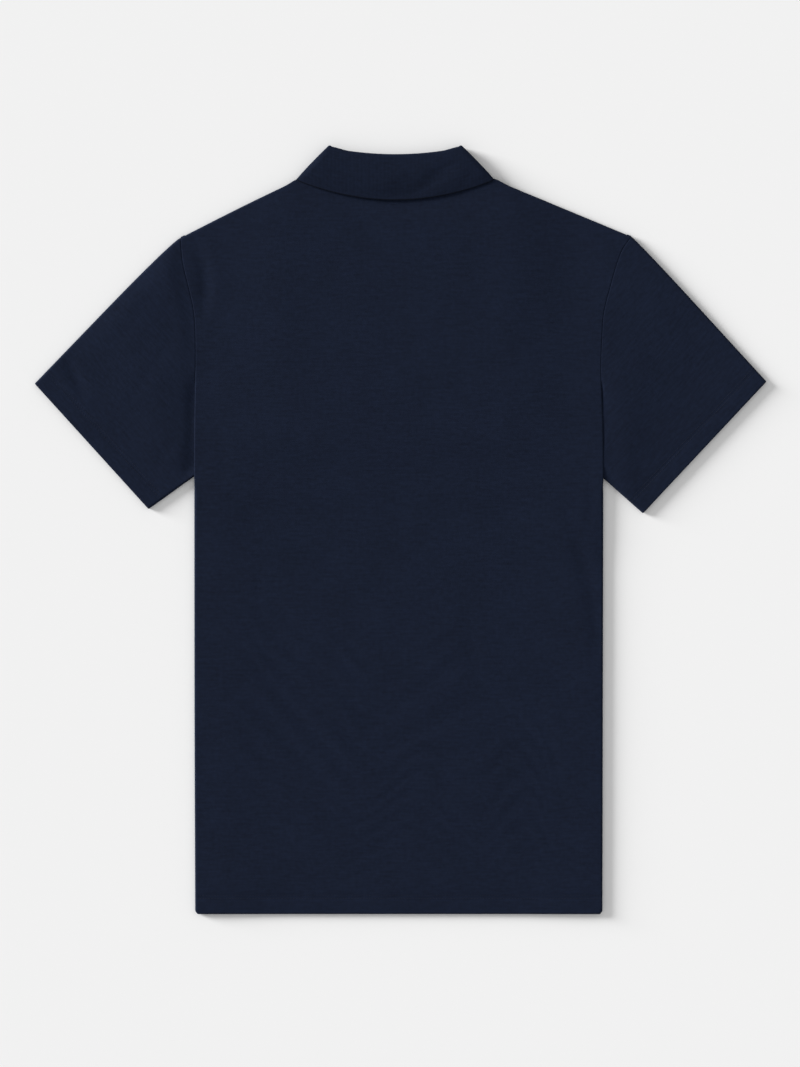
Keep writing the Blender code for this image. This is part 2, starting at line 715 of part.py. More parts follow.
def make_button(name, y, material, collection, cutters):
    """A round-edged disc, dished on the face that looks down, with four holes for its thread."""
    bm = bmesh.new()
    disc(bm, BUTTON_SIDES, BUTTON_RADIUS, BUTTON_THICK, (0, 0))
    rims = [edge for edge in bm.edges if abs(edge.verts[0].co.z - edge.verts[1].co.z) < 1e-6]
    bmesh.ops.bevel(bm, geom=rims, offset=BUTTON_EDGE / 1000, segments=2, profile=0.5, affect="EDGES")
    face = min(bm.faces, key=lambda cap: (cap.calc_center_median().z, -len(cap.verts)))
    bmesh.ops.inset_region(bm, faces=[face], thickness=BUTTON_RIM / 1000)
    bmesh.ops.inset_region(bm, faces=[face], thickness=BUTTON_SLOPE / 1000, depth=-BUTTON_DISH / 1000)
    button = add_object(bm, name, material, collection)
    button.location = place_mm(NECK_X, y, 0.0)
    bm = bmesh.new()
    for sx in (-1, 1):
        for sy in (-1, 1):
            middle = (sx * BUTTON_HOLE_SPREAD, sy * BUTTON_HOLE_SPREAD)
            disc(bm, BUTTON_HOLE_SIDES, BUTTON_HOLE, 3 * BUTTON_THICK, middle)
    cutter = add_object(bm, name + "_holes", material, cutters)
    cutter.location = button.location
    cutter.hide_render = True
    cutter.display_type = "WIRE"
    cut = button.modifiers.new("Holes", "BOOLEAN")
    cut.object = cutter
    cut.operation = "DIFFERENCE"
    cut.solver = "EXACT"
    return button


def main():
    for old in list(bpy.data.objects):
        bpy.data.objects.remove(old, do_unlink=True)
    shirt = bpy.data.collections.new("polo_shirt")
    cutters = bpy.data.collections.new("cutters")
    bpy.context.scene.collection.children.link(shirt)
    bpy.context.scene.collection.children.link(cutters)
    knit = make_material("navy_knit", NAVY, 0.85)
    rib = make_material("collar_knit", COLLAR_NAVY, 0.85)
    resin = make_material("button_resin", BUTTON_NAVY, 0.35)
    make_back(knit.copy(), shirt)
    make_front(knit.copy(), shirt)
    make_sleeve(-1, "sleeve_left", knit.copy(), shirt)
    make_sleeve(1, "sleeve_right", knit.copy(), shirt)
    make_collar(rib, shirt)
    half = PLACKET_WIDTH / 2
    under_bottom = FRONT_LIFT + WALL + SEAM
    make_band("placket_top", half, PLACKET_LOW_Y + SEAM, FRONT_LIFT, knit.copy(), shirt)
    under_low = PLACKET_LOW_Y - UNDER_MARGIN
    make_band("placket_under", half + UNDER_MARGIN, under_low, under_bottom, knit.copy(), shirt)
    for number, y in enumerate(BUTTON_Y, 1):
        make_button("button_%d" % number, y, resin.copy(), shirt, cutters)


main()
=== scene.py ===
# %% [markdown]
# # A polo shirt laid flat
#
# A short-sleeved polo shirt in dark navy knit lies on its front, with its back up and its collar turned
# down. It is made from seven pieces of cloth: a back, a front, two sleeves, a collar, and the two bands of
# the button opening, which lie underneath with three buttons. This lesson dresses a solid model of the
# shirt. Each panel is worked out again on a finer grid, as a sheet of real cloth with turned hems, soft
# creases and sewing, and takes the place of its solid.

# %% Start from the solid shirt
import math

import bpy
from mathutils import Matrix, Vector, noise


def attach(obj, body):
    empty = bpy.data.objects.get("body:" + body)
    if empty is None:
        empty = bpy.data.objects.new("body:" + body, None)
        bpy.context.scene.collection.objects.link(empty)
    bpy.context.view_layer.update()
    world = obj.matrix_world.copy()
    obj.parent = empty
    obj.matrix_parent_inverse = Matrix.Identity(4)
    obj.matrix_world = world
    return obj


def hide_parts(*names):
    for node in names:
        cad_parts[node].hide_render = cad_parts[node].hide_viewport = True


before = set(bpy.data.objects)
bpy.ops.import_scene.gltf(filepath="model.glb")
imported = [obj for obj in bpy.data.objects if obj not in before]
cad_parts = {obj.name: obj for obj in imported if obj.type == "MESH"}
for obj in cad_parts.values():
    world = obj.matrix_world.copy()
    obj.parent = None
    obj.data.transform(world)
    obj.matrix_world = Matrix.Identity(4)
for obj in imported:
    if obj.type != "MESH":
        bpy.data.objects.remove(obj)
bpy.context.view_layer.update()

print("solid nodes:", sorted(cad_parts))

# %% [markdown]
# ## Camera
#
# A garment laid out for a catalogue is seen from straight above. The camera stands three metres up with a
# long lens, so both cuffs are seen as flatly as the middle. It is made first, so every later step can be
# looked at through it.

# %% Camera
CAMERA_HEIGHT = 3.0
FRAME_HEIGHT = 1.0243       # metres of floor in sight from top to bottom
SENSOR = 36.0


def add_object(name, data):
    made = bpy.data.objects.new(name, data)
    bpy.context.scene.collection.objects.link(made)
    return made


camera = add_object("camera", bpy.data.cameras.new("camera"))
bpy.context.scene.camera = camera
camera.data.sensor_width = SENSOR
camera.data.lens = SENSOR * (CAMERA_HEIGHT - 0.005) / FRAME_HEIGHT
camera.location = (-0.0012, -0.0034, CAMERA_HEIGHT)
camera.data.clip_end = 50.0
print("lens %.1f mm" % camera.data.lens)

# %% [markdown]
# ## Floor and light
#
# The floor is one pale sheet. Dark cloth swallows light, so its form is read from small changes in tone:
# a wide, even sky gives the base tone, and one low, broad lamp from the upper left rakes across the cloth,
# catches the edges that face it and lays a soft shadow on the other side. Plain view colours keep the
# floor pale and the navy deep.

# %% Floor and light
FLOOR_TONE = 0.86
SKY = 0.575
KEY_WAY = (-0.92, 0.37, 0.22)      # towards the lamp: from the left, a little above, and low
KEY_STRENGTH = 6.5
KEY_SPREAD = 20.0


def set_inputs(node, values):
    """Sets constants on a node's own sockets."""
    for socket, value in values.items():
        node.inputs[socket].default_value = value


def plain_material(name, color, roughness, others=None):
    made = bpy.data.materials.new(name)
    made.use_nodes = True
    values = {"Base Color": (*color, 1.0), "Roughness": roughness, **(others or {})}
    set_inputs(made.node_tree.nodes["Principled BSDF"], values)
    return made


bpy.ops.mesh.primitive_plane_add(size=8.0)
floor = bpy.context.object
floor.name = "floor"
floor.data.materials.append(plain_material("floor", (FLOOR_TONE,) * 3, 0.9, {"Specular IOR Level": 0.1}))

world = bpy.data.worlds.new("studio")
bpy.context.scene.world = world
world.use_nodes = True
set_inputs(world.node_tree.nodes["Background"], {"Color": (1.0, 1.0, 1.0, 1.0), "Strength": SKY})

key = add_object("key", bpy.data.lights.new("key", "SUN"))
key.data.energy = KEY_STRENGTH
key.data.angle = math.radians(KEY_SPREAD)
key.rotation_euler = Vector(KEY_WAY).to_track_quat("Z", "Y").to_euler()
bpy.context.scene.view_settings.view_transform = "Standard"
print("floor tone %.2f, sky %.3f, key %.2f" % (FLOOR_TONE, SKY, KEY_STRENGTH))

# %% [markdown]
# ## The pattern of the shirt
#
# A tailor's pattern gives each panel as an outline. Here the outlines are curves through a few measured
# places, in millimetres from the middle of the hem: X across, Y up to the collar and Z up from the floor.
# The sides run nearly straight and flare out at the shoulder tips, the shoulders slope up to the neck, and
# the neck dips a little at the back and deeply at the front. Formulas beat a drawn outline here, because
# each point of a fine grid can ask them where it lies.

# %% Outline of the body
TIP_LEFT = (-209.6, 649.7)       # the shoulder tips
TIP_RIGHT = (223.4, 650.7)
HEM_CORNER = 4.0                 # radius of the hem's corners, seen from above
UNDERARM = (402.0, 418.0)        # between these heights the side seam ends and the armhole starts
# The body's edges: a height, then X on the left and on the right
SIDES = [
    (0, -195.6, 195.6), (200, -196.3, 196.0), (418, -196.4, 196.4), (470, -196.2, 195.8),
    (520, -195.3, 194.2), (555, -195.4, 195.1), (578, -196.8, 197.0), (600, -201.4, 202.4),
    (625, -207.4, 209.6), (640, -209.0, 215.6), (651, -209.6, 223.6),
]
SHOULDER_BOW = {-1: 1.0, 1: 0.3}   # how far each shoulder seam bows up, left and right
SHOULDER_RISE = 1.5                # beside the collar, the cloth is pushed up by this much
RISE_AT, RISE_WIDE = 0.9, 0.06     # there, as a share of the way up the shoulder
print("shoulder tips %.0f mm apart" % (TIP_RIGHT[0] - TIP_LEFT[0]))

# %% Heights
# Height of the back above the floor: up the body, at the middle and at the sides
STACK = [
    (0, 3.4, 4.4), (60, 4.0, 4.5), (330, 4.3, 4.6), (380, 4.4, 5.4), (412, 5.4, 5.9),
    (465, 6.9, 5.9), (530, 6.9, 5.9), (600, 6.9, 5.1), (660, 6.9, 4.8),
]
FRONT_LIFT = 2.7                 # the front lies this high over the collar, bands and buttons
LIFT_STARTS = (400.0, 470.0)     # and rises to it between these heights
MIDDLE_ENDS = (100.0, 178.0)     # distance from the neck's middle at which the middle gives way to the sides
print("the back lies %.1f mm high at the hem and %.1f mm at the neck" % (STACK[0][1], STACK[-1][1]))

# %% Neck
NECK_X = -3.4                    # the middle of the neck
NECK_HALF = 80.7                 # half its width
NECK_SIDE_Y = 708.5              # height of the neck seam at the sides, the back and the front
NECK_BACK_Y = 697.0
NECK_FRONT_Y = 630.0
NECK_BACK_POWER = 4.4            # how squarely the back neck turns up at its ends
NECK_CORNER = 2.4                # the shoulder seam ends this far outside the collar's turn
NECK_OPENS = (112.0, 86.0)       # over this stretch the shoulder seam opens towards the collar
NECK_OPEN_SHARE = 0.4
FRONT_NECK_GAP = 0.5
FOLD_HALF = 61.6                 # half the length of the collar's fold, and its height at the ends
FOLD_SIDE_Y = 733.9
print("neck %.0f mm wide and %.0f mm deep at the front" % (2 * NECK_HALF, NECK_SIDE_Y - NECK_FRONT_Y))

# %% Cloth
WALL = 0.62           # thickness of the knit
ROLL = 0.7            # a turned edge rolls round this radius
TIGHT = 0.8           # at a seam it is this much narrower than deep
SEAM = 0.3            # room between two pieces that are sewn together
LIP = 0.35            # half the gap between the two edges of a side seam
STEP_ACROSS, STEP_UP = 2.8, 2.2   # spacing of the cloth's grid
SMOOTH = (330.0, 460.0, 4.2)      # between these heights the body is smooth, and its rows this far apart
HEM = 17.0                        # depth of a turned hem
OUTLINE_MIDDLE = (2.35, 369.0)    # the middle of the whole outline, which is the model's origin
print("cloth %.2f mm thick, on a grid of %.1f by %.1f mm" % (WALL, STEP_ACROSS, STEP_UP))

# %% [markdown]
# ## Curves through the measurements
#
# A few short helpers turn the tables into smooth curves. Straight lines from one measured place to the next
# would show as kinks in the outline, so heights are eased and edges follow a smooth curve with matching
# slopes. The neck is written as a formula, since it is symmetrical on a real pattern too.

# %% Points and directions
def ease(low, high, x):
    """0 below low, 1 above high, and smooth between."""
    t = min(1.0, max(0.0, (x - low) / (high - low)))
    return t * t * (3.0 - 2.0 * t)


def mix(a, b, t):
    return a + (b - a) * t


def mix2(p, q, t):
    return (mix(p[0], q[0], t), mix(p[1], q[1], t))


def plus(p, q, times=1.0):
    return (p[0] + q[0] * times, p[1] + q[1] * times)


def unit(p, q):
    length = math.dist(p, q)
    return ((q[0] - p[0]) / length, (q[1] - p[1]) / length)


def cross(a, b):
    return a[0] * b[1] - a[1] * b[0]


print("halfway through an ease:", ease(0.0, 1.0, 0.5))


# %% Smooth values from a table
def eased_row(table, column, y):
    """A column of a table at height y, eased from row to row."""
    for low, high in zip(table, table[1:]):
        if y <= high[0]:
            return mix(low[column], high[column], ease(low[0], high[0], y))
    return table[-1][column]


def curved_row(table, column, y):
    """A column of a table at height y, on a smooth curve through the rows."""
    y = min(max(y, table[0][0]), table[-1][0])
    at = next(i for i in range(1, len(table)) if y <= table[i][0])
    low, high = table[at - 1], table[at]
    before, after = table[max(at - 2, 0)], table[min(at + 1, len(table) - 1)]
    span = high[0] - low[0]
    slope_low = (high[column] - before[column]) / (high[0] - before[0])
    slope_high = (after[column] - low[column]) / (after[0] - low[0])
    t = (y - low[0]) / span
    return (
        low[column] * (2 * t ** 3 - 3 * t ** 2 + 1)
        + slope_low * span * (t ** 3 - 2 * t ** 2 + t)
        + high[column] * (3 * t ** 2 - 2 * t ** 3)
        + slope_high * span * (t ** 3 - t ** 2)
    )


print("the left edge at 600 mm: X %.1f mm" % curved_row(SIDES, 1, 600))


# %% Height of each layer, and the body's edges
def middle_share(x):
    return 1.0 - ease(*MIDDLE_ENDS, abs(x - NECK_X))


def top_of_back(x, y):
    return mix(eased_row(STACK, 2, y), eased_row(STACK, 1, y), middle_share(x))


def bottom_of_front(x, y):
    return FRONT_LIFT * ease(*LIFT_STARTS, y) * middle_share(x)


def half_stack(x, y):
    return (top_of_back(x, y) - bottom_of_front(x, y)) / 2


def side_x(side, y):
    """The body's edge at height y, side 1 left or 2 right, with the hem's corners rounded."""
    corner = max(0.0, 1.0 - y / HEM_CORNER)
    inset = HEM_CORNER * (1.0 - math.sqrt(1.0 - corner ** 2))
    return curved_row(SIDES, side, y) + (inset if side == 1 else -inset)


print("body %.0f mm wide at the hem" % (side_x(2, 20) - side_x(1, 20)))


# %% Shoulders and neck
def neck_axis(sign):
    """Where the neck seam turns from the back to the front."""
    return (NECK_X + sign * NECK_HALF, NECK_SIDE_Y)


def fold_end(sign):
    return (NECK_X + sign * FOLD_HALF, FOLD_SIDE_Y)


def outward(p, q, sign):
    """The direction across the line p to q, away from the neck."""
    along = unit(p, q)
    return (-along[1], along[0]) if sign < 0 else (along[1], -along[0])


def neck_corner(sign):
    return plus(neck_axis(sign), outward(neck_axis(sign), fold_end(sign), sign), NECK_CORNER)


def shoulder(sign, t):
    x, y = mix2(TIP_LEFT if sign < 0 else TIP_RIGHT, neck_corner(sign), t)
    rise = SHOULDER_RISE * math.exp(-((t - RISE_AT) / RISE_WIDE) ** 2)
    return (x, y + SHOULDER_BOW[sign] * math.sin(math.pi * t) + rise)


def back_neck(x):
    return NECK_BACK_Y + (NECK_SIDE_Y - NECK_BACK_Y) * abs((x - NECK_X) / NECK_HALF) ** NECK_BACK_POWER


def front_neck(x):
    across = min(1.0, abs((x - NECK_X) / (NECK_HALF + FRONT_NECK_GAP)))
    return NECK_SIDE_Y - (NECK_SIDE_Y - NECK_FRONT_Y) * math.sqrt(1.0 - across ** 2)


def place(x, y, z):
    """Millimetres from the hem to metres from the middle of the whole outline."""
    return ((x - OUTLINE_MIDDLE[0]) / 1000, (y - OUTLINE_MIDDLE[1]) / 1000, z / 1000)


print("shoulder seams %.0f and %.0f mm long" % tuple(math.dist(shoulder(s, 0.0), shoulder(s, 1.0)) for s in (-1, 1)))

# %% [markdown]
# ## Creases
#
# Cloth laid flat is never quite flat. A soft, uneven swell runs through all of it, and here and there a
# crease is left from folding and wearing: a shallow trough with a slight ridge along each side. A cloth
# simulation would put creases where it likes. These are placed one by one, each as a short path with a width
# and a depth, so they can be set where the shirt has them, and are added to the panel's height.

# %% Height of a crease
def crease_height(crease, x, y):
    """Height that one crease adds at x, y: its path, width, depth."""
    path, width, depth = crease
    nearest, along, so_far = 1e9, 0.0, 0.0
    for a, b in zip(path, path[1:]):
        length = math.dist(a, b)
        way = ((b[0] - a[0]) / length, (b[1] - a[1]) / length)
        t = min(max((x - a[0]) * way[0] + (y - a[1]) * way[1], 0.0), length)
        away = math.hypot(x - a[0] - way[0] * t, y - a[1] - way[1] * t)
        if away < nearest:
            nearest, along = away, so_far + t
        so_far += length
    q = (nearest / width) ** 2
    if q > 7.0:   # 2.65 widths away it has faded out
        return 0.0
    end_fade = math.sin(math.pi * min(max(along / so_far, 0.0), 1.0)) ** 0.6 if so_far else 1.0
    return -depth * (1.0 - q) * math.exp(-q) * end_fade


def crease_reach(crease):
    """The box outside which a crease adds nothing."""
    path, width, _ = crease
    far = 2.7 * width
    xs, ys = [p[0] for p in path], [p[1] for p in path]
    return min(xs) - far, max(xs) + far, min(ys) - far, max(ys) + far


def relief(creases, x, y):
    total = 0.0
    for crease, (x0, x1, y0, y1) in creases:
        if x0 < x < x1 and y0 < y < y1:
            total += crease_height(crease, x, y)
    return total


def with_reach(creases):
    return [(crease, crease_reach(crease)) for crease in creases]


def swell(x, y, seed):
    """A slow, uneven rise and fall of the whole cloth: a wide one and a weaker, closer one."""
    wide = noise.noise(Vector((x / 120.0, y / 150.0, seed)))
    close = noise.noise(Vector((x / 45.0 + 9.0, y / 60.0, seed + 3.1)))
    return 0.34 * wide + 0.12 * close


print("a crease 1 mm deep gives %.2f mm at its middle" % crease_height(([(0, 0), (40, 0)], 8.0, 1.0), 20, 0))

# %% Creases on the back
# Each is a path, a width and a depth
BACK_CREASES = with_reach([
    ([(-134, 334), (-136, 308), (-130, 282)], 5.0, 0.18),
    # beside the right edge, where the cloth falls away
    ([(160, 396), (176, 340), (185, 308), (192, 276), (195, 238)], 11.0, 0.50),
    ([(180, 440), (186, 400), (180, 366)], 7.0, 0.25),
    # below the collar, and at the left armhole
    ([(-74, 697), (-44, 688), (-4, 685), (40, 688), (72, 697)], 15.0, 0.50),
    ([(-197, 648), (-188, 622), (-186, 600), (-189, 570)], 9.5, 0.90),
    ([(-176, 470), (-168, 440), (-172, 410)], 8.0, 0.20),
    ([(20, 500), (44, 484), (70, 474)], 8.0, 0.18),
    ([(-70, 468), (-40, 462), (-14, 446)], 8.0, 0.16),
    ([(-30, 548), (10, 542), (34, 524)], 7.0, 0.16),
    ([(84, 214), (72, 240), (66, 300)], 9.0, 0.20),
])

print("creases on the back:", len(BACK_CREASES))

# %% [markdown]
# ## Ripples
#
# The lower half of the back shows a family of fine wavy ripples, which run side by side like contour lines
# on a map. As separate creases they would take dozens of paths. A table of seven levels across the body
# does it in one go: between two levels the height runs through one wave. Each group of ripples has its own
# strength, so they come and go. Fainter level waves cross the upper right.

# %% Ripples
# A place across, then the height of each ripple there
RIPPLES = [
    (-152, 311, 283, 259, 215, 177, 139, 100), (-124, 275, 244, 224, 184, 146, 114, 80),
    (-95, 246, 217, 188, 151, 118, 92, 67), (-66, 226, 194, 156, 121, 96, 76, 57),
    (-47, 207, 170, 130, 102, 86, 70, 54), (-28, 192, 153, 122, 100, 92, 76, 60),
    (-8, 194, 156, 134, 117, 106, 89, 73), (11, 210, 170, 151, 134, 116, 98, 82),
    (30, 224, 180, 157, 136, 113, 94, 77), (49, 240, 188, 150, 127, 99, 80, 63),
    (68, 263, 200, 150, 123, 90, 70, 52), (88, 285, 208, 167, 136, 99, 76, 53),
    (102, 296, 213, 184, 154, 120, 96, 71), (116, 296, 212, 185, 159, 132, 110, 80),
    (131, 288, 197, 168, 144, 122, 99, 66), (145, 258, 159, 129, 107, 87, 67, 41),
    (160, 200, 91, 67, 50, 37, 25, 16),
]
RIPPLE_DEPTH = 0.21
SPACING_ABOVE, SPACING_BELOW = 26.0, 20.0   # how far apart they are past the first and the last level
# Where they show: the middle of each group, its reach across and up, and its strength
RIPPLE_GROUPS = [
    (-92, 205, 75, 92, 1.0), (24, 125, 70, 70, 0.95), (124, 125, 42, 90, 0.95), (-60, 100, 75, 55, 0.7),
    (0, 142, 156, 118, 0.68),
]


def patch(x, y, cx, cy, rx, ry):
    """1 inside an oval patch, 0 outside it, and soft at its rim."""
    return math.exp(-(((x - cx) / rx) ** 4 + ((y - cy) / ry) ** 4))


def ripple(x, y):
    """One of a family of wavy ripples, strongest in a few places and gone outside them."""
    if not (-165 < x < 168 and 20 < y < 320):   # past the ends of the table
        return 0.0
    levels = [curved_row(RIPPLES, k, x) for k in range(1, 8)]
    if y >= levels[0]:
        phase = -(y - levels[0]) / SPACING_ABOVE
    elif y <= levels[-1]:
        phase = len(levels) - 1 + (levels[-1] - y) / SPACING_BELOW
    else:
        k = next(i for i in range(1, len(levels)) if y >= levels[i])
        phase = k - (y - levels[k]) / (levels[k - 1] - levels[k])
    strength = max(patch(x, y, *middle_and_reach) * share for *middle_and_reach, share in RIPPLE_GROUPS)
    rising = (curved_row(RIPPLES, 4, x + 6.0) - curved_row(RIPPLES, 4, x - 6.0)) / 12.0
    # parts that lie along the light show less, so they are made deeper
    lit = abs(KEY_WAY[1] - KEY_WAY[0] * rising) / math.hypot(1.0, rising)
    strength *= min(1.45, 0.66 / (0.28 + lit))
    return -RIPPLE_DEPTH * strength * math.cos(2 * math.pi * phase)


print("ripples: %d levels, %d groups" % (len(RIPPLES[0]) - 1, len(RIPPLE_GROUPS)))

# %% Faint level waves
STREAK_PATCH = (95, 552, 88, 84)
STREAK_DEPTH = 0.065
STREAK_SPACING = 9.6


def streaks(x, y):
    """Faint level waves across the upper right."""
    strength = patch(x, y, *STREAK_PATCH)
    if strength < 0.02:
        return 0.0
    wave = 2.6 * math.sin(x / 13.0) + 3.0 * noise.noise(Vector((x / 40.0, y / 60.0, 7.0)))
    return STREAK_DEPTH * strength * math.sin(2 * math.pi * (y + 0.06 * x + wave) / STREAK_SPACING)


print("level waves: %.3f mm deep" % STREAK_DEPTH)

# %% Creases on the front
FRONT_CREASES = with_reach([
    ([(-120, 240), (-80, 200), (-40, 150)], 5.5, 0.22),
    ([(-128, 214), (-92, 176), (-60, 136)], 5.0, 0.18),
    ([(60, 110), (84, 138), (112, 136), (130, 108)], 5.5, 0.22),
    ([(150, 370), (160, 330), (166, 290)], 5.0, 0.22),
    ([(-60, 420), (-20, 436), (30, 430), (70, 414)], 7.0, 0.24),
    ([(90, 560), (120, 540), (150, 548)], 6.0, 0.18),
    ([(-150, 560), (-118, 548), (-90, 556)], 6.0, 0.18),
])
print("creases on the front:", len(FRONT_CREASES))

# %% [markdown]
# ## A panel as a sheet
#
# Each body panel is one sheet laid on a grid of columns and rows that follow its outline, closest where the
# cloth turns. It could be cut from a flat plane along the pattern, but the faces at a cut edge come out
# ragged. Here the columns fan out between the two sides, and each is as long as the panel is there, so the
# edge is always a clean row of faces.

# %% The panel's plan
SIDE_SHARE = 0.4        # each side's curve bends the columns over this share of the width
SMALL = 0.001           # a small step of u or v, to measure with


class Panel:
    """The plan of one panel: u runs 0 to 1 across the hem, v 0 to 1 up to the top edge."""

    def __init__(self, neck, neck_gap):
        self.neck = neck
        self.neck_gap = neck_gap
        self.left = SIDES[0][1]
        self.wide = SIDES[0][2] - SIDES[0][1]
        self.tops = {}

    def column(self, x):
        return (x - self.left) / self.wide

    def top(self, u):
        if u not in self.tops:
            self.tops[u] = self.find_top(u)
        return self.tops[u]

    def find_top(self, u):
        x = self.left + self.wide * u
        for sign in (-1, 1):
            corner = neck_corner(sign)
            edge = self.column(corner[0])
            if sign * (u - edge) >= 0:
                outer = 0.0 if sign < 0 else 1.0
                return shoulder(sign, (u - outer) / (edge - outer))
            axis = plus(neck_axis(sign), (sign * self.neck_gap, -SEAM / 2))
            if sign * (x - axis[0]) > 0:
                return mix2(corner, axis, (x - corner[0]) / (axis[0] - corner[0]))
        return (x, self.neck(x) - SEAM / 2)

    def plan(self, u, v):
        """Where the place u, v of the panel lies."""
        x, y = mix2((mix(side_x(1, 0.0), side_x(2, 0.0), u), 0.0), self.top(u), v)
        for side, end, inward in ((1, 0.0, u), (2, 1.0, 1.0 - u)):
            share = 1.0 - inward / SIDE_SHARE
            if share > 0:
                straight = mix2((side_x(side, 0.0), 0.0), self.top(end), v)
                edge_y = v * (TIP_LEFT, TIP_RIGHT)[side - 1][1]
                x += share ** 2 * (side_x(side, edge_y) - straight[0])
                y += share ** 2 * (edge_y - straight[1])
        return (x, y)

    def side_step(self, end, v):
        """Millimetres in from a side's edge for each unit of u."""
        inner = abs(end - SMALL)
        p, q = self.plan(end, v), self.plan(inner, v)
        along = unit(self.plan(end, max(0.0, v - 0.004)), self.plan(end, min(1.0, v + 0.004)))
        return abs(cross((q[0] - p[0], q[1] - p[1]), along)) / SMALL

    def top_step(self, u):
        """Millimetres in from the top edge for each unit of v."""
        p, q = self.plan(u, 1.0), self.plan(u, 1.0 - SMALL)
        near = u + 0.004 if u < 0.5 else u - 0.004
        # at the shoulder's end the neck turns away, so it is measured on the shoulder's side
        if u in (self.column(neck_corner(-1)[0]), self.column(neck_corner(1)[0])):
            near = u - 0.004 if u < 0.5 else u + 0.004
        along = unit(p, self.plan(near, 1.0))
        return abs(cross((q[0] - p[0], q[1] - p[1]), along)) / SMALL


print("the back is %.0f mm high at its middle" % Panel(back_neck, 0.0).top(0.5)[1])

# %% [markdown]
# ## Edges that turn
#
# A sheet that simply stops looks like paper. At a side seam and a shoulder the cloth curls round and meets
# the other panel's edge half way down. At the armholes it is turned under. At the hem it rolls round and
# comes back up inside, as a sewn hem does. Each of these is a short profile of steps in from the edge and
# steps down, and along the body's side one profile is blended into the other.

# %% How an edge turns
EDGE_STEPS = 6
HOLD = 0.7            # a last close row of points keeps the flat cloth flat up to the roll
TURN_UNDER = 4.0      # the cloth comes back this far under a turned edge
EDGE_ROOM = 0.06      # and curls this much more tightly than half the stack


def quarter(radius, angle, narrow=1.0):
    """How far in from the edge and how far down a rolled edge is, at an angle from its top."""
    a = math.radians(angle)
    return narrow * radius * (1.0 - math.sin(a)), radius * (1.0 - math.cos(a))


def edge_profile(half, curled, loose=None):
    """(inset, drop) from the edge inwards: curled 1 meets the other panel, curled 0 is turned under."""
    if loose is not None:
        return [(loose * k / EDGE_STEPS, 0.0) for k in range(EDGE_STEPS + 1)]
    radius = half - LIP - EDGE_ROOM
    under = [(TURN_UNDER, 2 * ROLL)]
    under += [quarter(ROLL, a, TIGHT) for a in (180, 135, 90, 45, 0)] + [(TIGHT * ROLL + HOLD, 0.0)]
    meets = [(0.0, radius + LIP)] + [quarter(radius, a) for a in (90, 67.5, 45, 22.5, 0)] + [(radius + HOLD, 0.0)]
    return [mix2(p, q, curled) for p, q in zip(under, meets)]


def shoulder_curl(x):
    """1 where the shoulder seam is closed, less where it opens towards the collar."""
    return 1.0 - NECK_OPEN_SHARE * ease(-NECK_OPENS[0], -NECK_OPENS[1], -abs(x - NECK_X))


def steps_between(low, high, step):
    """Places from low to high, about a step apart."""
    count = max(1, round((high - low) / step))
    return [low + (high - low) * k / count for k in range(count + 1)]


print("a turned edge is %.1f mm thick" % (2 * ROLL))


# %% Height of a panel's face
TWIN = (15.2, 18.2)   # the two rows of a hem's stitches, from its edge
BACK_SEED, FRONT_SEED = 0.0, 5.0   # each panel swells in its own way


def stitch_dip(from_edge):
    """A hem's twin rows pull the cloth down between them."""
    return -0.2 * math.exp(-((from_edge - sum(TWIN) / 2) / 2.9) ** 4)


def body_relief(x, y, creases, seed):
    """Everything that lifts or sinks a body panel, fading out at its edges."""
    edge = min(x - side_x(1, y), side_x(2, y) - x)
    soft = swell(x, y, seed) * ease(2.0, 34.0, edge) * ease(2.0, 30.0, y)
    marked = relief(creases, x, y)
    if seed == BACK_SEED:
        marked += ripple(x, y) + streaks(x, y)
    return soft + marked * ease(1.0, 6.5, edge) * ease(10.0, 26.0, y) + stitch_dip(y) * ease(0.0, 3.0, edge)


print("the back swells by %.2f mm at its middle" % swell(0.0, 300.0, BACK_SEED))


# %% Columns and rows
HEM_STEP, HEM_ROWS_END = 1.2, 22.0   # rows are this close up to here
NECK_ROWS = 8.0                      # depth of the rows along the neck's edge


def column_places(panel, marks):
    """Columns as u, with one at each mark."""
    us = []
    for low, high in zip(marks, marks[1:]):
        us += [panel.column(x) for x in steps_between(low, high, STEP_ACROSS)][:-1]
    return us + [panel.column(marks[-1])]


def row_places(row_marks):
    """Rows as v, with one at each mark: close at the hem, wide where the cloth is smooth."""
    heights = []
    for low, high in zip(row_marks, row_marks[1:]):
        step = STEP_UP
        if low < HEM_ROWS_END:
            step = HEM_STEP
        elif SMOOTH[0] <= low < SMOOTH[1]:
            step = SMOOTH[2]
        heights += steps_between(low, high, step)[:-1]
    return [y / TIP_LEFT[1] for y in heights + [row_marks[-1]]]


def side_profiles(panel, v):
    """The profiles of the left and the right edge on one row, with their insets as shares of u."""
    y = v * TIP_LEFT[1]
    curled = 1.0 - ease(*UNDERARM, y)
    ends = []
    for side, end in ((1, 0.0), (2, 1.0)):
        step = panel.side_step(end, v)
        half = half_stack(side_x(side, y), y)
        ends.append([(inset / step, drop) for inset, drop in edge_profile(half, curled)])
    return ends


print("edge rows: %d at each side" % len(edge_profile(2.0, 1.0)))


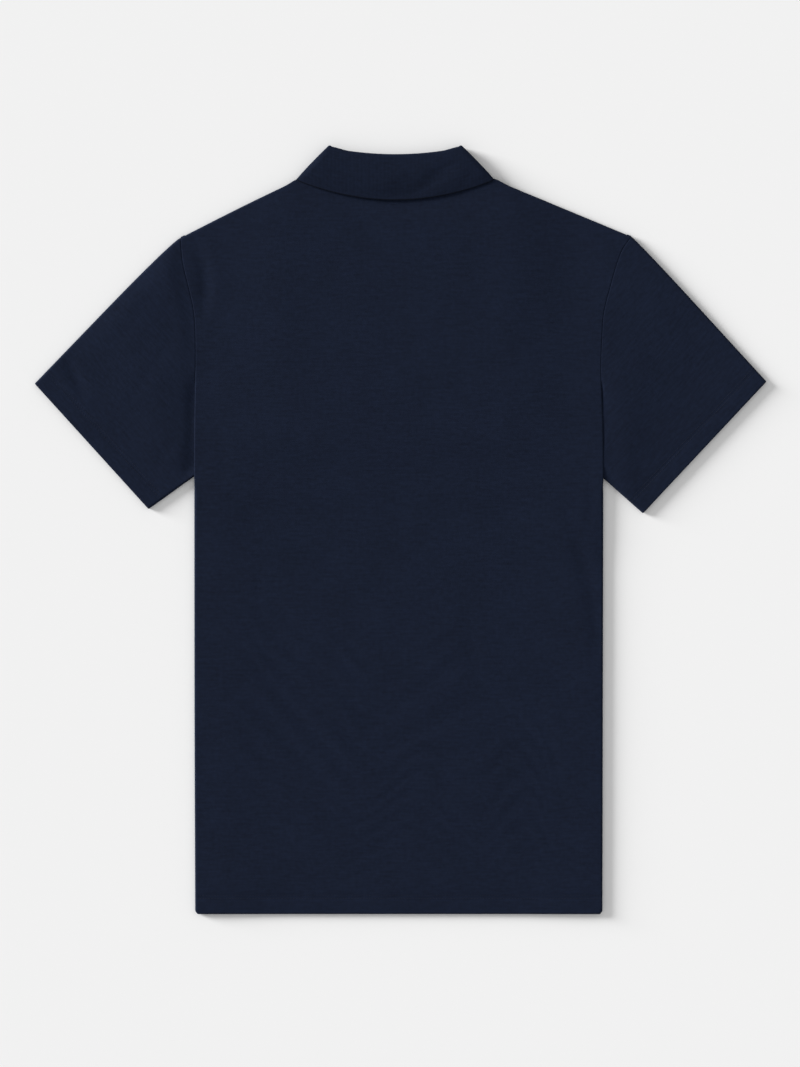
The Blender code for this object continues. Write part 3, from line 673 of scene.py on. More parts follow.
# %% Points of a panel's face
def panel_sheet(panel, marks, row_marks, face, creases, seed):
    """Points of a panel's outer face by row and column; face is 1 for the back and -1 for the front."""
    corner_us = [panel.column(neck_corner(sign)[0]) for sign in (-1, 1)]
    us, rows, grid = column_places(panel, marks), row_places(row_marks), []
    for j in range(len(rows) + EDGE_STEPS + 1):
        v = rows[min(j, len(rows) - 1)]
        left, right = side_profiles(panel, v)
        across = left + [(u, 0.0) for u in us] + [(1.0 - u, drop) for u, drop in right[::-1]]
        line = []
        for u, side_drop in across:
            here, drop = v, side_drop
            if j >= len(rows):
                top = panel.top(u)
                on_shoulder = not corner_us[0] + 1e-9 < u < corner_us[1] - 1e-9
                profile = edge_profile(half_stack(*top), shoulder_curl(top[0]), None if on_shoulder else NECK_ROWS)
                inset, top_drop = profile[::-1][j - len(rows)]
                here = 1.0 - inset / (panel.top_step(u) if on_shoulder else top[1])
                drop = max(side_drop, top_drop)
            x, y = panel.plan(u, here)
            soft = body_relief(x, y, creases, seed) if drop == 0.0 else 0.0
            z = top_of_back(x, y) - drop if face > 0 else bottom_of_front(x, y) + drop
            line.append((x, y, z + face * soft))
        grid.append(line)
    return grid


# %% The turned hem
def turned_hem(grid, face):
    """The rows that roll round the hem's edge and come back up inside, innermost first."""
    first = grid[0]
    away = []   # the way out of the cloth at each point of the hem, as X and Z
    for i in range(len(first)):
        a, b = first[max(i - 1, 0)], first[min(i + 1, len(first) - 1)]
        x, z = b[0] - a[0], b[2] - a[2]
        length = math.hypot(x, z) or 1.0
        away.append((face * -z / length, face * x / length))
    made = []
    inside = [(HEM, 2 * ROLL), (HEM * 0.6, 2 * ROLL), (5.0, 2 * ROLL)]
    for y, depth in inside + [quarter(ROLL, a) for a in (180, 135, 90, 45)]:
        made.append([(p[0] - n[0] * depth, y, p[2] - n[1] * depth) for p, n in zip(first, away)])
    return made


print("a hem is turned up by %.0f mm" % HEM)

# %% [markdown]
# ## From points to cloth
#
# The points become a mesh, and Solidify gives it its thickness inwards. That is safer than modelling both
# faces, because they can never cross. The mesh also keeps, for each point, its place on the flat cloth in
# millimetres. The knit reads it later, so its rows follow the cloth and not the room.

# %% Cloth from points
def grid_object(name, grid, flip, gone=None, closed=False):
    """A mesh through rows of points, with each point's place on the cloth kept as the attribute grain."""
    columns = len(grid[0])
    verts = [place(*point[:3]) for line in grid for point in line]
    faces = []
    for j in range(len(grid) - 1):
        for i in range(columns if closed else columns - 1):
            if gone and gone(j, i):
                continue
            k = (i + 1) % columns
            face = (j * columns + i, j * columns + k, (j + 1) * columns + k, (j + 1) * columns + i)
            faces.append(face[::-1] if flip else face)
    mesh = bpy.data.meshes.new(name)
    mesh.from_pydata(verts, [], faces)
    grain = mesh.attributes.new("grain", "FLOAT_VECTOR", "POINT")
    for at, point in enumerate(point for line in grid for point in line):
        own = point[3:] if len(point) > 3 else point[:2]
        grain.data[at].vector = (own[0] / 1000, own[1] / 1000, 0.0)
    mesh.shade_smooth()
    return add_object(name, mesh)


# %% Thickness and finish
def as_plain_mesh(made):
    """Bakes an object's modifiers into its mesh."""
    graph = bpy.context.evaluated_depsgraph_get()
    mesh = bpy.data.meshes.new_from_object(made.evaluated_get(graph))
    made.modifiers.clear()
    made.data = mesh
    mesh.name = made.name
    return made


def cloth(made, wall, material, offset=-1.0, round_edge=0.0):
    """Gives a sheet its thickness and finish, and makes it a plain mesh."""
    made.data.materials.append(material)
    maker = made.modifiers.new("Wall", "SOLIDIFY")
    maker.thickness = wall / 1000
    maker.offset = offset
    if round_edge:
        rounder = made.modifiers.new("Edge", "BEVEL")
        rounder.width = round_edge / 1000
        rounder.segments = 2
        rounder.limit_method = "ANGLE"
        rounder.angle_limit = math.radians(60)
    as_plain_mesh(made)
    made.data.set_sharp_from_angle(angle=math.radians(62))
    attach(made, "root")
    print("%s: %d faces" % (made.name, len(made.data.polygons)))
    return made


# %% [markdown]
# ## Knit
#
# Polo cloth is a pique knit: rows of small raised cells made by tucked loops. From a step away they melt
# into a matt face with a faint grain across it. The finish is a nearly black navy with two weak kinds of
# unevenness, a soft mottle from the yarn and short streaks along the rows, and a bump made of two crossed
# ripples. It reads the grain attribute, so the rows follow each panel as it was cut.

# %% Short ways to build a material
class Nodes:
    """Short ways to add and join the nodes of one tree."""

    def __init__(self, tree):
        self.tree = tree
        self.shader = tree.nodes.get("Principled BSDF")

    def add(self, kind, values=None, **settings):
        """A node with its settings, and with values on its sockets."""
        node = self.tree.nodes.new(kind)
        for name, value in settings.items():
            setattr(node, name, value)
        set_inputs(node, values or {})
        return node

    def join(self, source, target):
        self.tree.links.new(source, target)

    def math(self, operation, a, b=None, c=None):
        """The result of a sum; each part is a number or another node's socket."""
        node = self.add("ShaderNodeMath", operation=operation)
        for slot, value in enumerate((a, b, c)):
            if value is None:
                continue
            if isinstance(value, (int, float)):
                node.inputs[slot].default_value = value
            else:
                self.join(value, node.inputs[slot])
        return node.outputs[0]


print("Nodes can", [name for name in vars(Nodes) if name[0] != "_"])


# %% Loops and unevenness of the yarn
def loop_height(nodes, parts, wale, course, cells):
    """Raised cells: two crossed waves for pique, one for ribs."""
    across = nodes.math("SINE", nodes.math("MULTIPLY", parts.outputs[0], 2000 * math.pi / wale))
    along = nodes.math("SINE", nodes.math("MULTIPLY", parts.outputs[1], 2000 * math.pi / course))
    crossed = nodes.math("MULTIPLY", nodes.math("MULTIPLY", across, along), cells)
    return nodes.math("ADD", crossed, nodes.math("MULTIPLY", across, 1.0 - cells))


def yarn_mottle(nodes, grain):
    """A fine and a wide mottle, added up."""
    blends = []
    for scale, detail, share in ((260.0, 3.0, 1.2), (24.0, 2.0, 0.6)):
        mottle = nodes.add("ShaderNodeTexNoise", {"Scale": scale, "Detail": detail})
        nodes.join(grain.outputs["Vector"], mottle.inputs["Vector"])
        blends.append(nodes.math("MULTIPLY", mottle.outputs["Fac"], share))
    return nodes.math("ADD", *blends)


def row_streaks(nodes, grain):
    """Short streaks along the rows: noise stretched seven times across."""
    stretch = nodes.add("ShaderNodeMapping", {"Scale": (70.0, 480.0, 1.0)})
    nodes.join(grain.outputs["Vector"], stretch.inputs["Vector"])
    streak = nodes.add("ShaderNodeTexNoise", {"Scale": 1.0, "Detail": 2.0})
    nodes.join(stretch.outputs[0], streak.inputs["Vector"])
    return streak.outputs["Fac"]


print("unevenness: two mottles and one streak")


# %% Knit material
WALE = 1.15           # millimetres from one column of loops to the next
COURSE = 0.95         # and from one row to the next
DARK, LIGHT = 0.2, 1.8   # the mottle swings between these shares of the colour
SHEEN = {"Sheen Weight": 0.04, "Sheen Roughness": 0.6, "Sheen Tint": (0.45, 0.55, 0.85, 1.0)}


def knit(name, color, wale, course, cells, bump, rim=0.0):
    """A matt knit: cells 1 is pique, 0 plain ribs; rim is the width of painted shade along a free edge, in
    millimetres.
    """
    made = plain_material(name, color, 0.92, {"Specular IOR Level": 0.08, **SHEEN})
    nodes = Nodes(made.node_tree)
    grain = nodes.add("ShaderNodeAttribute", attribute_name="grain")
    parts = nodes.add("ShaderNodeSeparateXYZ")
    nodes.join(grain.outputs["Vector"], parts.inputs[0])
    loops = loop_height(nodes, parts, wale, course, cells)
    mottle, streak = yarn_mottle(nodes, grain), row_streaks(nodes, grain)
    uneven = nodes.math("MULTIPLY_ADD", streak, 1.2, mottle)
    tone = nodes.add("ShaderNodeMix", data_type="RGBA")
    set_inputs(tone, {"A": (*[DARK * c for c in color], 1.0), "B": (*[LIGHT * c for c in color], 1.0)})
    nodes.join(nodes.math("DIVIDE", uneven, 3.0), tone.inputs["Factor"])
    if rim:
        # painted shade: near the free edge the colour falls to 0.3 of itself, for the thin shadow that the edge
        # casts
        painted_shade_limits = {"From Min": 0.0003 * rim, "From Max": 0.001 * rim, "To Min": 0.3, "To Max": 1.0}
        edge = nodes.add("ShaderNodeMapRange", interpolation_type="SMOOTHSTEP")
        set_inputs(edge, painted_shade_limits)
        nodes.join(parts.outputs[1], edge.inputs["Value"])
        painted_shade_color = nodes.add("ShaderNodeVectorMath", operation="SCALE")
        nodes.join(tone.outputs["Result"], painted_shade_color.inputs[0])
        nodes.join(edge.outputs["Result"], painted_shade_color.inputs["Scale"])
        nodes.join(painted_shade_color.outputs[0], nodes.shader.inputs["Base Color"])
    else:
        nodes.join(tone.outputs["Result"], nodes.shader.inputs["Base Color"])

    raised = nodes.add("ShaderNodeBump", {"Strength": bump, "Distance": 0.0001})
    nodes.join(nodes.math("ADD", loops, nodes.math("MULTIPLY", streak, 1.3)), raised.inputs["Height"])
    nodes.join(raised.outputs[0], nodes.shader.inputs["Normal"])
    return made


NAVY = (0.0058, 0.0096, 0.0228)
# the collar's navy is a little darker than the body's: partly the rib's own tone, partly painted shade for its fall
COLLAR_NAVY_WITH_SHADE = (0.0048, 0.0082, 0.0200)
body_knit = knit("navy pique", NAVY, WALE, COURSE, 1.0, 0.55)
# the collar's free edge gets 1.4 mm of painted shade
collar_knit = knit("navy collar rib", COLLAR_NAVY_WITH_SHADE, 1.3, 0.8, 0.45, 0.5, rim=1.4)
print("knit: %.2f by %.2f mm cells" % (WALE, COURSE))

# %% [markdown]
# ## Back
#
# The back is the largest panel and the one that is seen. It runs from the turned hem over the creases to
# the shoulder seams and the neck, where the collar covers its edge. Marks are places where a column or a row
# has to lie, such as the ends of the neck. The grid is spaced evenly between them, so nothing is cut short.

# %% Back
ROW_MARKS = [ROLL, 13.0, HEM_ROWS_END, SMOOTH[0], *UNDERARM, SMOOTH[1], 640.0]
OUTER_MARK = 188.0    # the last column before the rows that turn


def body_marks(panel, between=()):
    gap = panel.neck_gap
    inner = [neck_corner(-1)[0], neck_axis(-1)[0] - gap, *between, neck_axis(1)[0] + gap, neck_corner(1)[0]]
    return [-OUTER_MARK] + inner + [OUTER_MARK]


back_plan = Panel(back_neck, 0.0)
back_grid = panel_sheet(back_plan, body_marks(back_plan), ROW_MARKS, 1, BACK_CREASES, BACK_SEED)
back = cloth(grid_object("back", turned_hem(back_grid, 1) + back_grid, False), WALL, body_knit)
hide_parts("back")

# %% [markdown]
# ## Front
#
# The front lies underneath, flat on the floor, and lifts a few millimetres over the collar's ends, the
# button bands and the buttons. A slot is left for the bands, and its edges are sewn to them.

# %% Front
PLACKET_WIDTH = 30.0
PLACKET_LOW_Y = 480.0      # height of the bands' foot

front_plan = Panel(front_neck, FRONT_NECK_GAP)
slot_sides = (NECK_X - PLACKET_WIDTH / 2 - SEAM, NECK_X + PLACKET_WIDTH / 2 + SEAM)
slot_height = PLACKET_LOW_Y / front_plan.top(front_plan.column(slot_sides[1]))[1] * TIP_LEFT[1]
front_rows = ROW_MARKS[:-1] + [slot_height, ROW_MARKS[-1]]
front_marks = body_marks(front_plan, slot_sides)
front_grid = panel_sheet(front_plan, front_marks, front_rows, -1, FRONT_CREASES, FRONT_SEED)
hem_rows = turned_hem(front_grid, -1)
front_grid = [[(x, y, max(z, 0.0)) for x, y, z in line] for line in front_grid]   # nothing sinks into the floor


def in_slot(j, i):
    """True for the faces that the slot leaves out."""
    row = front_grid[max(j - len(hem_rows), 0)]
    middle = (row[i][0] + row[i + 1][0]) / 2
    return row[i][1] > PLACKET_LOW_Y - 0.5 and slot_sides[0] - 0.6 < middle < slot_sides[1] + 0.6


front = cloth(grid_object("front", hem_rows + front_grid, True, in_slot), WALL, body_knit)
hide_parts("front")

# %% [markdown]
# ## Sleeves
#
# A sleeve is a tube that has been pressed flat: one sheet that runs over the top, round the upper fold and
# back underneath. Its root is joined to the body's edge at the shoulder and slips inside the body at the
# underarm. A tube lofted through rings keeps both layers in one sheet, as the real sleeve is. Its cuff is
# turned inside, like the hem.

# %% Sleeve measurements
CUFFS = {-1: ((-349.9, 509.6), (-240.4, 389.0)), 1: ((353.3, 511.6), (234.6, 384.9))}
TOP_BOW = {-1: 2.4, 1: 1.2}       # the upper fold swings out this far, most near the shoulder
SLEEVE_STACK = 4.2                # thickness of the pressed tube at its cuff
SLEEVE_SINK = 1.5                 # at the underarm it lies this much lower than the body's edge
TUCK = 10.4                       # and is slipped this far inside the body
OVERLAP = 0.06                    # elsewhere its root only just meets the body's edge
SLEEVE_LOW_Y = 428.0              # height of the lower fold's root
TUCK_ENDS = {-1: (440.0, 514.0), 1: (440.0, 504.0)}   # heights between which the tuck and the sink end
SINK_ENDS = {-1: (511.0, 523.0), 1: (499.0, 514.0)}
SINK_SPREAD = 170.0               # the sunk step softens by this much along the sleeve
SLEEVE_RINGS = 56                 # rings from root to cuff, places across, and steps round a fold
ACROSS = 44
FOLD_STEPS = 4
CLOSE = 0.006                     # a last close row of points beside a turn, as a share


def tuck(sign, y):
    """How far the sleeve's root is slipped inside the body."""
    return TUCK * (1.0 - ease(*TUCK_ENDS[sign], y))


def sunk(sign, s, y):
    """1 where the sleeve lies lower than the body's edge, 0 where it is level with it."""
    low, high = SINK_ENDS[sign]
    return 1.0 - ease(low - SINK_SPREAD * s, high + SINK_SPREAD * s, y)


def body_side(sign, y):
    return side_x(1 if sign < 0 else 2, y)


def armhole(sign, y):
    """The sleeve's root: inside the body at the underarm, then close beside its edge."""
    return (body_side(sign, y) + sign * (-OVERLAP - tuck(sign, y)), y)


print("cuffs %.0f and %.0f mm wide" % tuple(math.dist(*CUFFS[sign]) for sign in (-1, 1)))


# %% The pressed tube
class Sleeve:
    """One sleeve's outer face: a station is a place round the tube, s runs from its root to its cuff."""

    def __init__(self, sign):
        self.sign = sign
        self.tip = TIP_LEFT if sign < 0 else TIP_RIGHT
        self.root_top = armhole(sign, self.tip[1])
        self.root_low = armhole(sign, SLEEVE_LOW_Y)
        self.cuff_way = unit(CUFFS[sign][1], CUFFS[sign][0])
        self.top_way = unit(armhole(sign, self.tip[1] - 8.0), self.root_top)
        self.low_way = unit(self.root_low, armhole(sign, SLEEVE_LOW_Y + 8.0))
        flats = [0.0, CLOSE] + [k / ACROSS for k in range(1, ACROSS)] + [1.0 - CLOSE, 1.0]
        turns = [k / FOLD_STEPS for k in range(1, FOLD_STEPS + 1)]
        self.stations = [("flat", share, 1) for share in flats]
        self.stations += [("top", turn, 1) for turn in turns] + [("top", turn, -1) for turn in turns[-2::-1]]
        self.stations += [("flat", share, -1) for share in flats[::-1]]
        self.stations += [("low", turn, -1) for turn in turns] + [("low", turn, 1) for turn in turns[-2::-1]]
        self.lengths = [self.length(i) for i in range(len(self.stations))]

    def length(self, i):
        return math.dist(self.point(i, 0.0)[:2], self.point(i, 1.0)[:2])

    def levels(self, s, y):
        """Height of the tube's lower and upper layer."""
        drop = SLEEVE_SINK * sunk(self.sign, s, y)
        high = top_of_back(body_side(self.sign, y), y) - drop
        return mix(drop, 0.0, ease(0.26, 0.6, s)), mix(high, SLEEVE_STACK, ease(0.3, 0.8, s))

    def fold(self, s, top):
        """A fold's line at s, and the step from it in to where the fold starts."""
        root, cuff = (self.root_top, CUFFS[self.sign][0]) if top else (self.root_low, CUFFS[self.sign][1])
        low, high = self.levels(s, root[1])
        way = mix2(self.top_way if top else self.low_way, self.cuff_way, s)
        step = (high - low) / 2 / abs(cross(unit(cuff, root), way)) * (-1.0 if top else 1.0)
        bow = TOP_BOW[self.sign] * math.sin(math.pi * math.sqrt(s)) if top else 0.0
        along = unit(root, cuff)
        aside = (along[1] * -self.sign, along[0] * self.sign)
        return plus(mix2(root, cuff, s), aside, bow), (way[0] * step, way[1] * step)

    def point(self, i, s):
        """A place on the tube: station i round it, share s along it."""
        kind, share, face = self.stations[i % len(self.stations)]
        if kind == "flat":
            roots = [plus(*self.fold(0.0, top)) for top in (False, True)]
            here = [plus(*self.fold(s, top)) for top in (False, True)]
            y = mix(roots[0][1], roots[1][1], share)
            bent = plus(armhole(self.sign, y), mix2(*roots, share), -1.0)
            (x, y), (low, high), lift = plus(mix2(*here, share), bent, 1.0 - s), self.levels(s, y), 1.0
        else:
            angle = math.pi / 2 * share
            line, step = self.fold(s, kind == "top")
            (x, y) = plus(line, step, 1.0 - math.sin(angle))
            low, high = self.levels(s, (self.root_top if kind == "top" else self.root_low)[1])
            lift = math.cos(angle)
        return Vector((x, y, (low + high) / 2 + face * (high - low) / 2 * lift))

    def outward(self, i, s):
        """The direction out of the tube at a place on it."""
        round_it = self.point(i + 1, s) - self.point(i - 1, s)
        along = self.point(i, min(s + 0.01, 1.0)) - self.point(i, max(s - 0.01, 0.0))
        return (along.cross(round_it) * self.sign).normalized()


SLEEVES = {sign: Sleeve(sign) for sign in (-1, 1)}
print("a sleeve has %d places round" % len(SLEEVES[1].stations))

# %% [markdown]
# ## Unevenness of a sleeve
#
# A sleeve has creases of its own, and its layers bulge and sink where it meets the body. All of that is one
# height, added to the flat layers and faded out at the folds and at the root. The left sleeve also swells a
# little behind its upper fold, which catches the light, and dips beside the body at the underarm.

# %% Creases of the sleeves
SLEEVE_CREASES = {
    -1: with_reach([
        ([(-214, 560), (-240, 520), (-262, 486)], 6.5, 0.18),
        ([(-232, 600), (-262, 560), (-292, 520)], 7.5, 0.16),
        ([(-206, 470), (-226, 440), (-240, 414)], 5.5, 0.16),
        ([(-321, 534), (-311, 516), (-300, 498)], 7.5, 0.85),
    ]),
    1: with_reach([
        ([(222, 570), (248, 530), (268, 492)], 6.5, 0.18),
        ([(246, 600), (276, 566), (310, 530)], 7.5, 0.15),
        ([(210, 470), (226, 446), (238, 418)], 5.5, 0.16),
    ]),
}
SLEEVE_SWELL = 1.3     # how far the left sleeve's upper layer swells
print("creases on the sleeves:", [len(SLEEVE_CREASES[sign]) for sign in (-1, 1)])


# %% Height of a sleeve's layers
def sleeve_relief(sign, s, length, x, y, face):
    """Soft unevenness of a sleeve; beside the body the left one dips and the right one rises."""
    soft = swell(x, y, 11.0 + sign + face) + relief(SLEEVE_CREASES[sign] if face > 0 else [], x, y)
    from_root = s * length
    fade = ease(2.0, 20.0, from_root) * ease(3.0, 24.0, length - from_root)
    soft = soft * fade + stitch_dip(length - from_root)
    if face < 0:
        return soft
    beside = from_root - 1.3 * tuck(sign, y)
    if sign < 0:
        # the dip is deeper and wider at the underarm, and ends a third of the way up the armhole
        low = 1.0 - ease(428, 462, y)
        dip = (1.05 + 0.6 * low) * math.exp(-((beside - 1.0) / (6.5 + 5.0 * low)) ** 2)
        return soft - dip * (1.0 - ease(494, 512, y))
    # the rise is steep beside the body's edge and runs out slowly
    rise = 0.95 * sunk(sign, s, y) * ease(-2.5, 1.0, beside) * ease(ROLL, 3.0, from_root)
    return soft + rise * (1.0 - ease(18.0, 60.0, beside))


def fold_fade(share):
    """0 at both folds and 1 between them."""
    return ease(0.0, 0.045, share) * ease(0.0, 0.045, 1.0 - share)


def sleeve_puff(sign, s, share, face):
    """The left sleeve's upper layer swells a little, so the cloth rounds off towards its upper fold."""
    if sign > 0 or face < 0:
        return 0.0
    # it is full a tenth of the width in from the fold, and gone past the middle and towards the cuff
    from_fold = 1.0 - share
    inward = min(1.0, from_fold / 0.1)
    fade = (1.0 - ease(0.12, 0.6, from_fold)) * ease(0.0, 0.12, s) * (1.0 - ease(0.4, 0.85, s))
    return SLEEVE_SWELL * inward * (2.0 - inward) * fade


def lifted(sleeve, i, s, p):
    """A point of the tube with the unevenness of its layer."""
    kind, share, face = sleeve.stations[i]
    if kind == "flat":
        p.z += face * fold_fade(share) * sleeve_relief(sleeve.sign, s, sleeve.lengths[i], p.x, p.y, face)
        p.z += sleeve_puff(sleeve.sign, s, share, face)
    return p


print("left sleeve swells by %.2f mm" % sleeve_puff(-1, 0.3, 0.9, 1))


# %% Rings of a sleeve
def sleeve_rings(sleeve):
    """Rings from the root, rolled in, to the cuff, which is turned inside by the depth of a hem."""
    rings = [("root",) + quarter(ROLL, a, TIGHT) for a in (90, 60, 30)]
    rings += [("along", k, 0.0) for k in (0.0, CLOSE)]
    rings += [("along", k / SLEEVE_RINGS, 0.0) for k in range(1, SLEEVE_RINGS)]
    rings += [("along", k, 0.0) for k in (1.0 - CLOSE, 1.0)]
    rings += [("cuff",) + quarter(ROLL, a) for a in (45, 90, 135, 180)]
    rings += [("cuff", inset, 2 * ROLL) for inset in (5.0, 11.0, HEM)]
    made = []
    for kind, inset, depth in rings:
        line = []
        for i, length in enumerate(sleeve.lengths):
            if kind == "root":
                s = inset / length
            elif kind == "cuff":
                s = 1.0 - inset / length
            else:
                s = mix(TIGHT * ROLL / length, 1.0 - ROLL / length, inset)
            p = sleeve.point(i, s) - sleeve.outward(i, s) * depth
            if kind == "along":
                p = lifted(sleeve, i, s, p)
            cuff = CUFFS[sleeve.sign]
            away = (p.x - cuff[1][0], p.y - cuff[1][1])
            grain = (away[0] * sleeve.cuff_way[0] + away[1] * sleeve.cuff_way[1], cross(sleeve.cuff_way, away))
            line.append((p.x, p.y, max(p.z, 0.0), *grain))
        made.append(line)
    return made


# %% Sleeves
for sign, name, area in ((-1, "sleeve_left", 0.050), (1, "sleeve_right", 0.053)):
    sleeve = cloth(grid_object(name, sleeve_rings(SLEEVES[sign]), sign > 0, closed=True), WALL, body_knit)
    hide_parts(name)

# %% [markdown]
# ## Collar
#
# A polo collar is knitted to shape as one strip. It is sewn to the neck by one long edge, stands up a
# little, folds over and falls back outside. Laid flat, the strip goes round the neck like a very flat
# ring. It is swept here as a profile of stand, bend and fall, which turns over at both sides of the neck
# and runs on to the two points at the front. A fine groove sets off a rim along its free edge, and the
# knit there is painted darker over its last 1.4 mm: painted shade for the thin shadow where the edge lies
# on the back.

# %% Collar measurements
COLLAR_WALL = 1.1
COLLAR_Z = 4.8                 # height of the middle of its turn from back to front
STAND_RADIUS = 1.5             # the stand and the fall turn round it with these radii
FALL_RADIUS = 3.88
FALL_DROOP = 1.3               # the fall sinks towards its free edge, and rounds up before it
FALL_PUFF = 0.8
CORNER_LIFT = 1.4              # the fold rises into its corners
FOLD_BACK_Y = 727.8            # height of the fold at the middle of the back and of the front
FOLD_FRONT_Y = 655.0
FALL_HALF = 92.6               # the free edge: half its width, and its height at the sides and the back
FALL_SIDE_Y = 703.5
FALL_BACK_Y = 685.3
FALL_FRONT_BEND = (85.0, 642.0)   # at the front it bends here and ends in a point
COLLAR_POINT = (42.0, 594.0)
COLLAR_GAP = 2.5               # each end stops this far from the middle of the front
FRONT_STEPS, TURN_STEPS, BACK_STEPS = 34, 14, 60
STRIP_STEP = 2.0               # millimetres of knit from one station to the next, where the strip turns
COLLAR_CREASES = with_reach([
    ([(-14, 679), (14, 692), (34, 706), (56, 724)], 10.5, 0.85),
    ([(-34, 680), (-8, 691), (10, 704), (20, 716)], 9.5, 0.42),
    ([(-70, 708), (-48, 716), (-30, 722)], 7.0, 0.12),
    ([(60, 700), (70, 712), (66, 724)], 6.0, 0.12),
])
print("collar %.0f mm deep at the back" % (FOLD_BACK_Y - FALL_BACK_Y))


# %% Places along the strip
def collar_stations():
    """Places of the strip's seam, fold and free edge, and how far it has turned to the front."""
    found = []
    for sign in (-1, 1):
        fall_end = (NECK_X + sign * FALL_HALF, FALL_SIDE_Y)
        bend = (NECK_X + sign * FALL_FRONT_BEND[0], FALL_FRONT_BEND[1])
        point = (NECK_X + sign * COLLAR_POINT[0], COLLAR_POINT[1])
        last = math.acos(COLLAR_GAP / NECK_HALF)
        rise = NECK_SIDE_Y - NECK_FRONT_Y - SEAM
        side = []
        for k in range(FRONT_STEPS, 0, -1):
            a = k / FRONT_STEPS
            x, y = math.cos(last * a), math.sin(last * a)
            base = (NECK_X + sign * (NECK_HALF - SEAM) * x, NECK_SIDE_Y - rise * y)
            fold = (NECK_X + sign * FOLD_HALF * x, FOLD_SIDE_Y - (FOLD_SIDE_Y - FOLD_FRONT_Y) * y)
            side.append((base, fold, mix2(mix2(fall_end, bend, a), mix2(bend, point, a), a), math.pi))
        axis = neck_axis(sign)
        for k in range(TURN_STEPS + 1):
            base = plus(axis, unit(axis, fold_end(sign)), SEAM / 2)
            turn = math.pi * (1.0 - k / TURN_STEPS)
            fold = plus(fold_end(sign), (0.0, CORNER_LIFT * max(0.0, math.cos(turn)) ** 2))
            side.append((base, fold, fall_end, turn))
        found.append(side)
    back_part = []
    for k in range(1, BACK_STEPS):
        t = 2.0 * k / BACK_STEPS - 1.0
        x = NECK_X + NECK_HALF * t
        corner = CORNER_LIFT * ease(0.72, 1.0, abs(t))
        fold = (NECK_X + FOLD_HALF * t, mix(FOLD_BACK_Y, FOLD_SIDE_Y, t * t) + corner)
        fall = (NECK_X + FALL_HALF * t, mix(FALL_BACK_Y, FALL_SIDE_Y, t * t))
        back_part.append(((x, back_neck(x) + SEAM / 2), fold, fall, 0.0))
    left, right = found
    # from one end at the front, round the left side and the back, to the other end
    return [(-1, row) for row in left + back_part] + [(1, row) for row in right[::-1]]


print("the strip has %d stations" % len(collar_stations()))


# %% The folded strip
def boxy(share):
    """Rounds a turn less: flat until close to its edge."""
    return math.copysign(abs(share) ** 0.55, share)


def collar_strip(stand_steps=6, bend_steps=8, fall_steps=20):
    """Rows of points along the neck, each from the seam up the stand, round the bend and down the fall."""
    bend_radius = (FALL_RADIUS - STAND_RADIUS) / 2
    grid, run = [], 0.0
    for sign, (base, fold, fall, turn) in collar_stations():
        up, stand_out, fall_out = unit(base, fold), outward(base, fold, sign), outward(fall, fold, sign)
        strip = [(mix2(base, fold, k / stand_steps), STAND_RADIUS, stand_out, 0.0) for k in range(stand_steps)]
        for k in range(bend_steps + 1):
            angle = math.pi * k / bend_steps
            at = plus(fold, up, bend_radius * math.sin(angle))
            way = mix2(stand_out, fall_out, k / bend_steps)
            strip.append((at, STAND_RADIUS + bend_radius * (1.0 - math.cos(angle)), way, 0.0))
        depth = math.dist(fold, fall)
        for k in range(1, fall_steps + 1):
            t = k / fall_steps
            # a fine groove 3 mm from the free edge sets off the rim
            from_edge = depth * (1.0 - t)
            rim = 0.14 * math.exp(-((from_edge - 3.0) / 0.9) ** 2)
            form = (FALL_PUFF * math.sin(math.pi * t) if turn == 0.0 else 0.0) - FALL_DROOP * t ** 3
            strip.append((mix2(fold, fall, t), FALL_RADIUS + form - rim, fall_out, t))
        line, down = [], 0.0
        for (at, radius, way, t), before in zip(strip, [strip[0]] + strip):
            x, y = plus(at, way, radius * boxy(math.sin(turn)) if 0.0 < turn < math.pi else 0.0)
            down += math.dist(at, before[0]) + 0.5 * abs(radius - before[1])
            soft = relief(COLLAR_CREASES, x, y) + 0.4 * swell(x, y, 21.0)
            shown = ease(0.1, 0.4, t) * ease(0.0, 0.14, 1.0 - t) * soft * (turn == 0.0)
            z = COLLAR_Z + radius * boxy(math.cos(turn)) + shown
            line.append((x, y, z, x if turn == 0.0 else run, down))
        # the knit's rows are counted from the free edge
        line = [(*point[:4], down - point[4]) for point in line]
        grid.append(line)
        run += STRIP_STEP
    return grid


print("the strip is %.1f mm thick where it turns" % (2 * FALL_RADIUS))

# %% Collar
collar = cloth(grid_object("collar", collar_strip(), False), COLLAR_WALL, collar_knit, 0.0, 0.35)
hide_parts("collar")

# %% [markdown]
# ## Button bands
#
# The opening at the neck is closed by two bands, one over the other. The outer one has the buttonholes and
# shows from below, the inner one carries the buttons. Both are flat folded strips, so a thin slab with
# softened edges is enough, and the sewing along its edges does the rest.

# %% Button bands
BAND_WALL = 1.15
UNDER_MARGIN = 3.0      # the inner band is this much wider and longer
UNDER_RISE = 1.5        # and lies this much higher
BAND_COLUMNS, BAND_ROWS = 12, 39


def band(name, half, low_y, bottom):
    """A slab from the foot of the opening to the neck, very slightly uneven."""
    grid = []
    for j in range(BAND_ROWS + 1):
        line = []
        for i in range(BAND_COLUMNS + 1):
            x = NECK_X + half * (i / (BAND_COLUMNS / 2) - 1)
            y = mix(low_y, front_neck(x) - SEAM / 2, j / BAND_ROWS)
            line.append((x, y, bottom + 0.12 * abs(noise.noise(Vector((x / 14, y / 22, bottom))))))
        grid.append(line)
    made = cloth(grid_object(name, grid, True), BAND_WALL, body_knit, -1.0, 0.35)
    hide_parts(name)
    return made


band_half = PLACKET_WIDTH / 2
band("placket_top", band_half, PLACKET_LOW_Y + SEAM, FRONT_LIFT)
band("placket_under", band_half + UNDER_MARGIN, PLACKET_LOW_Y - UNDER_MARGIN, FRONT_LIFT + UNDER_RISE)

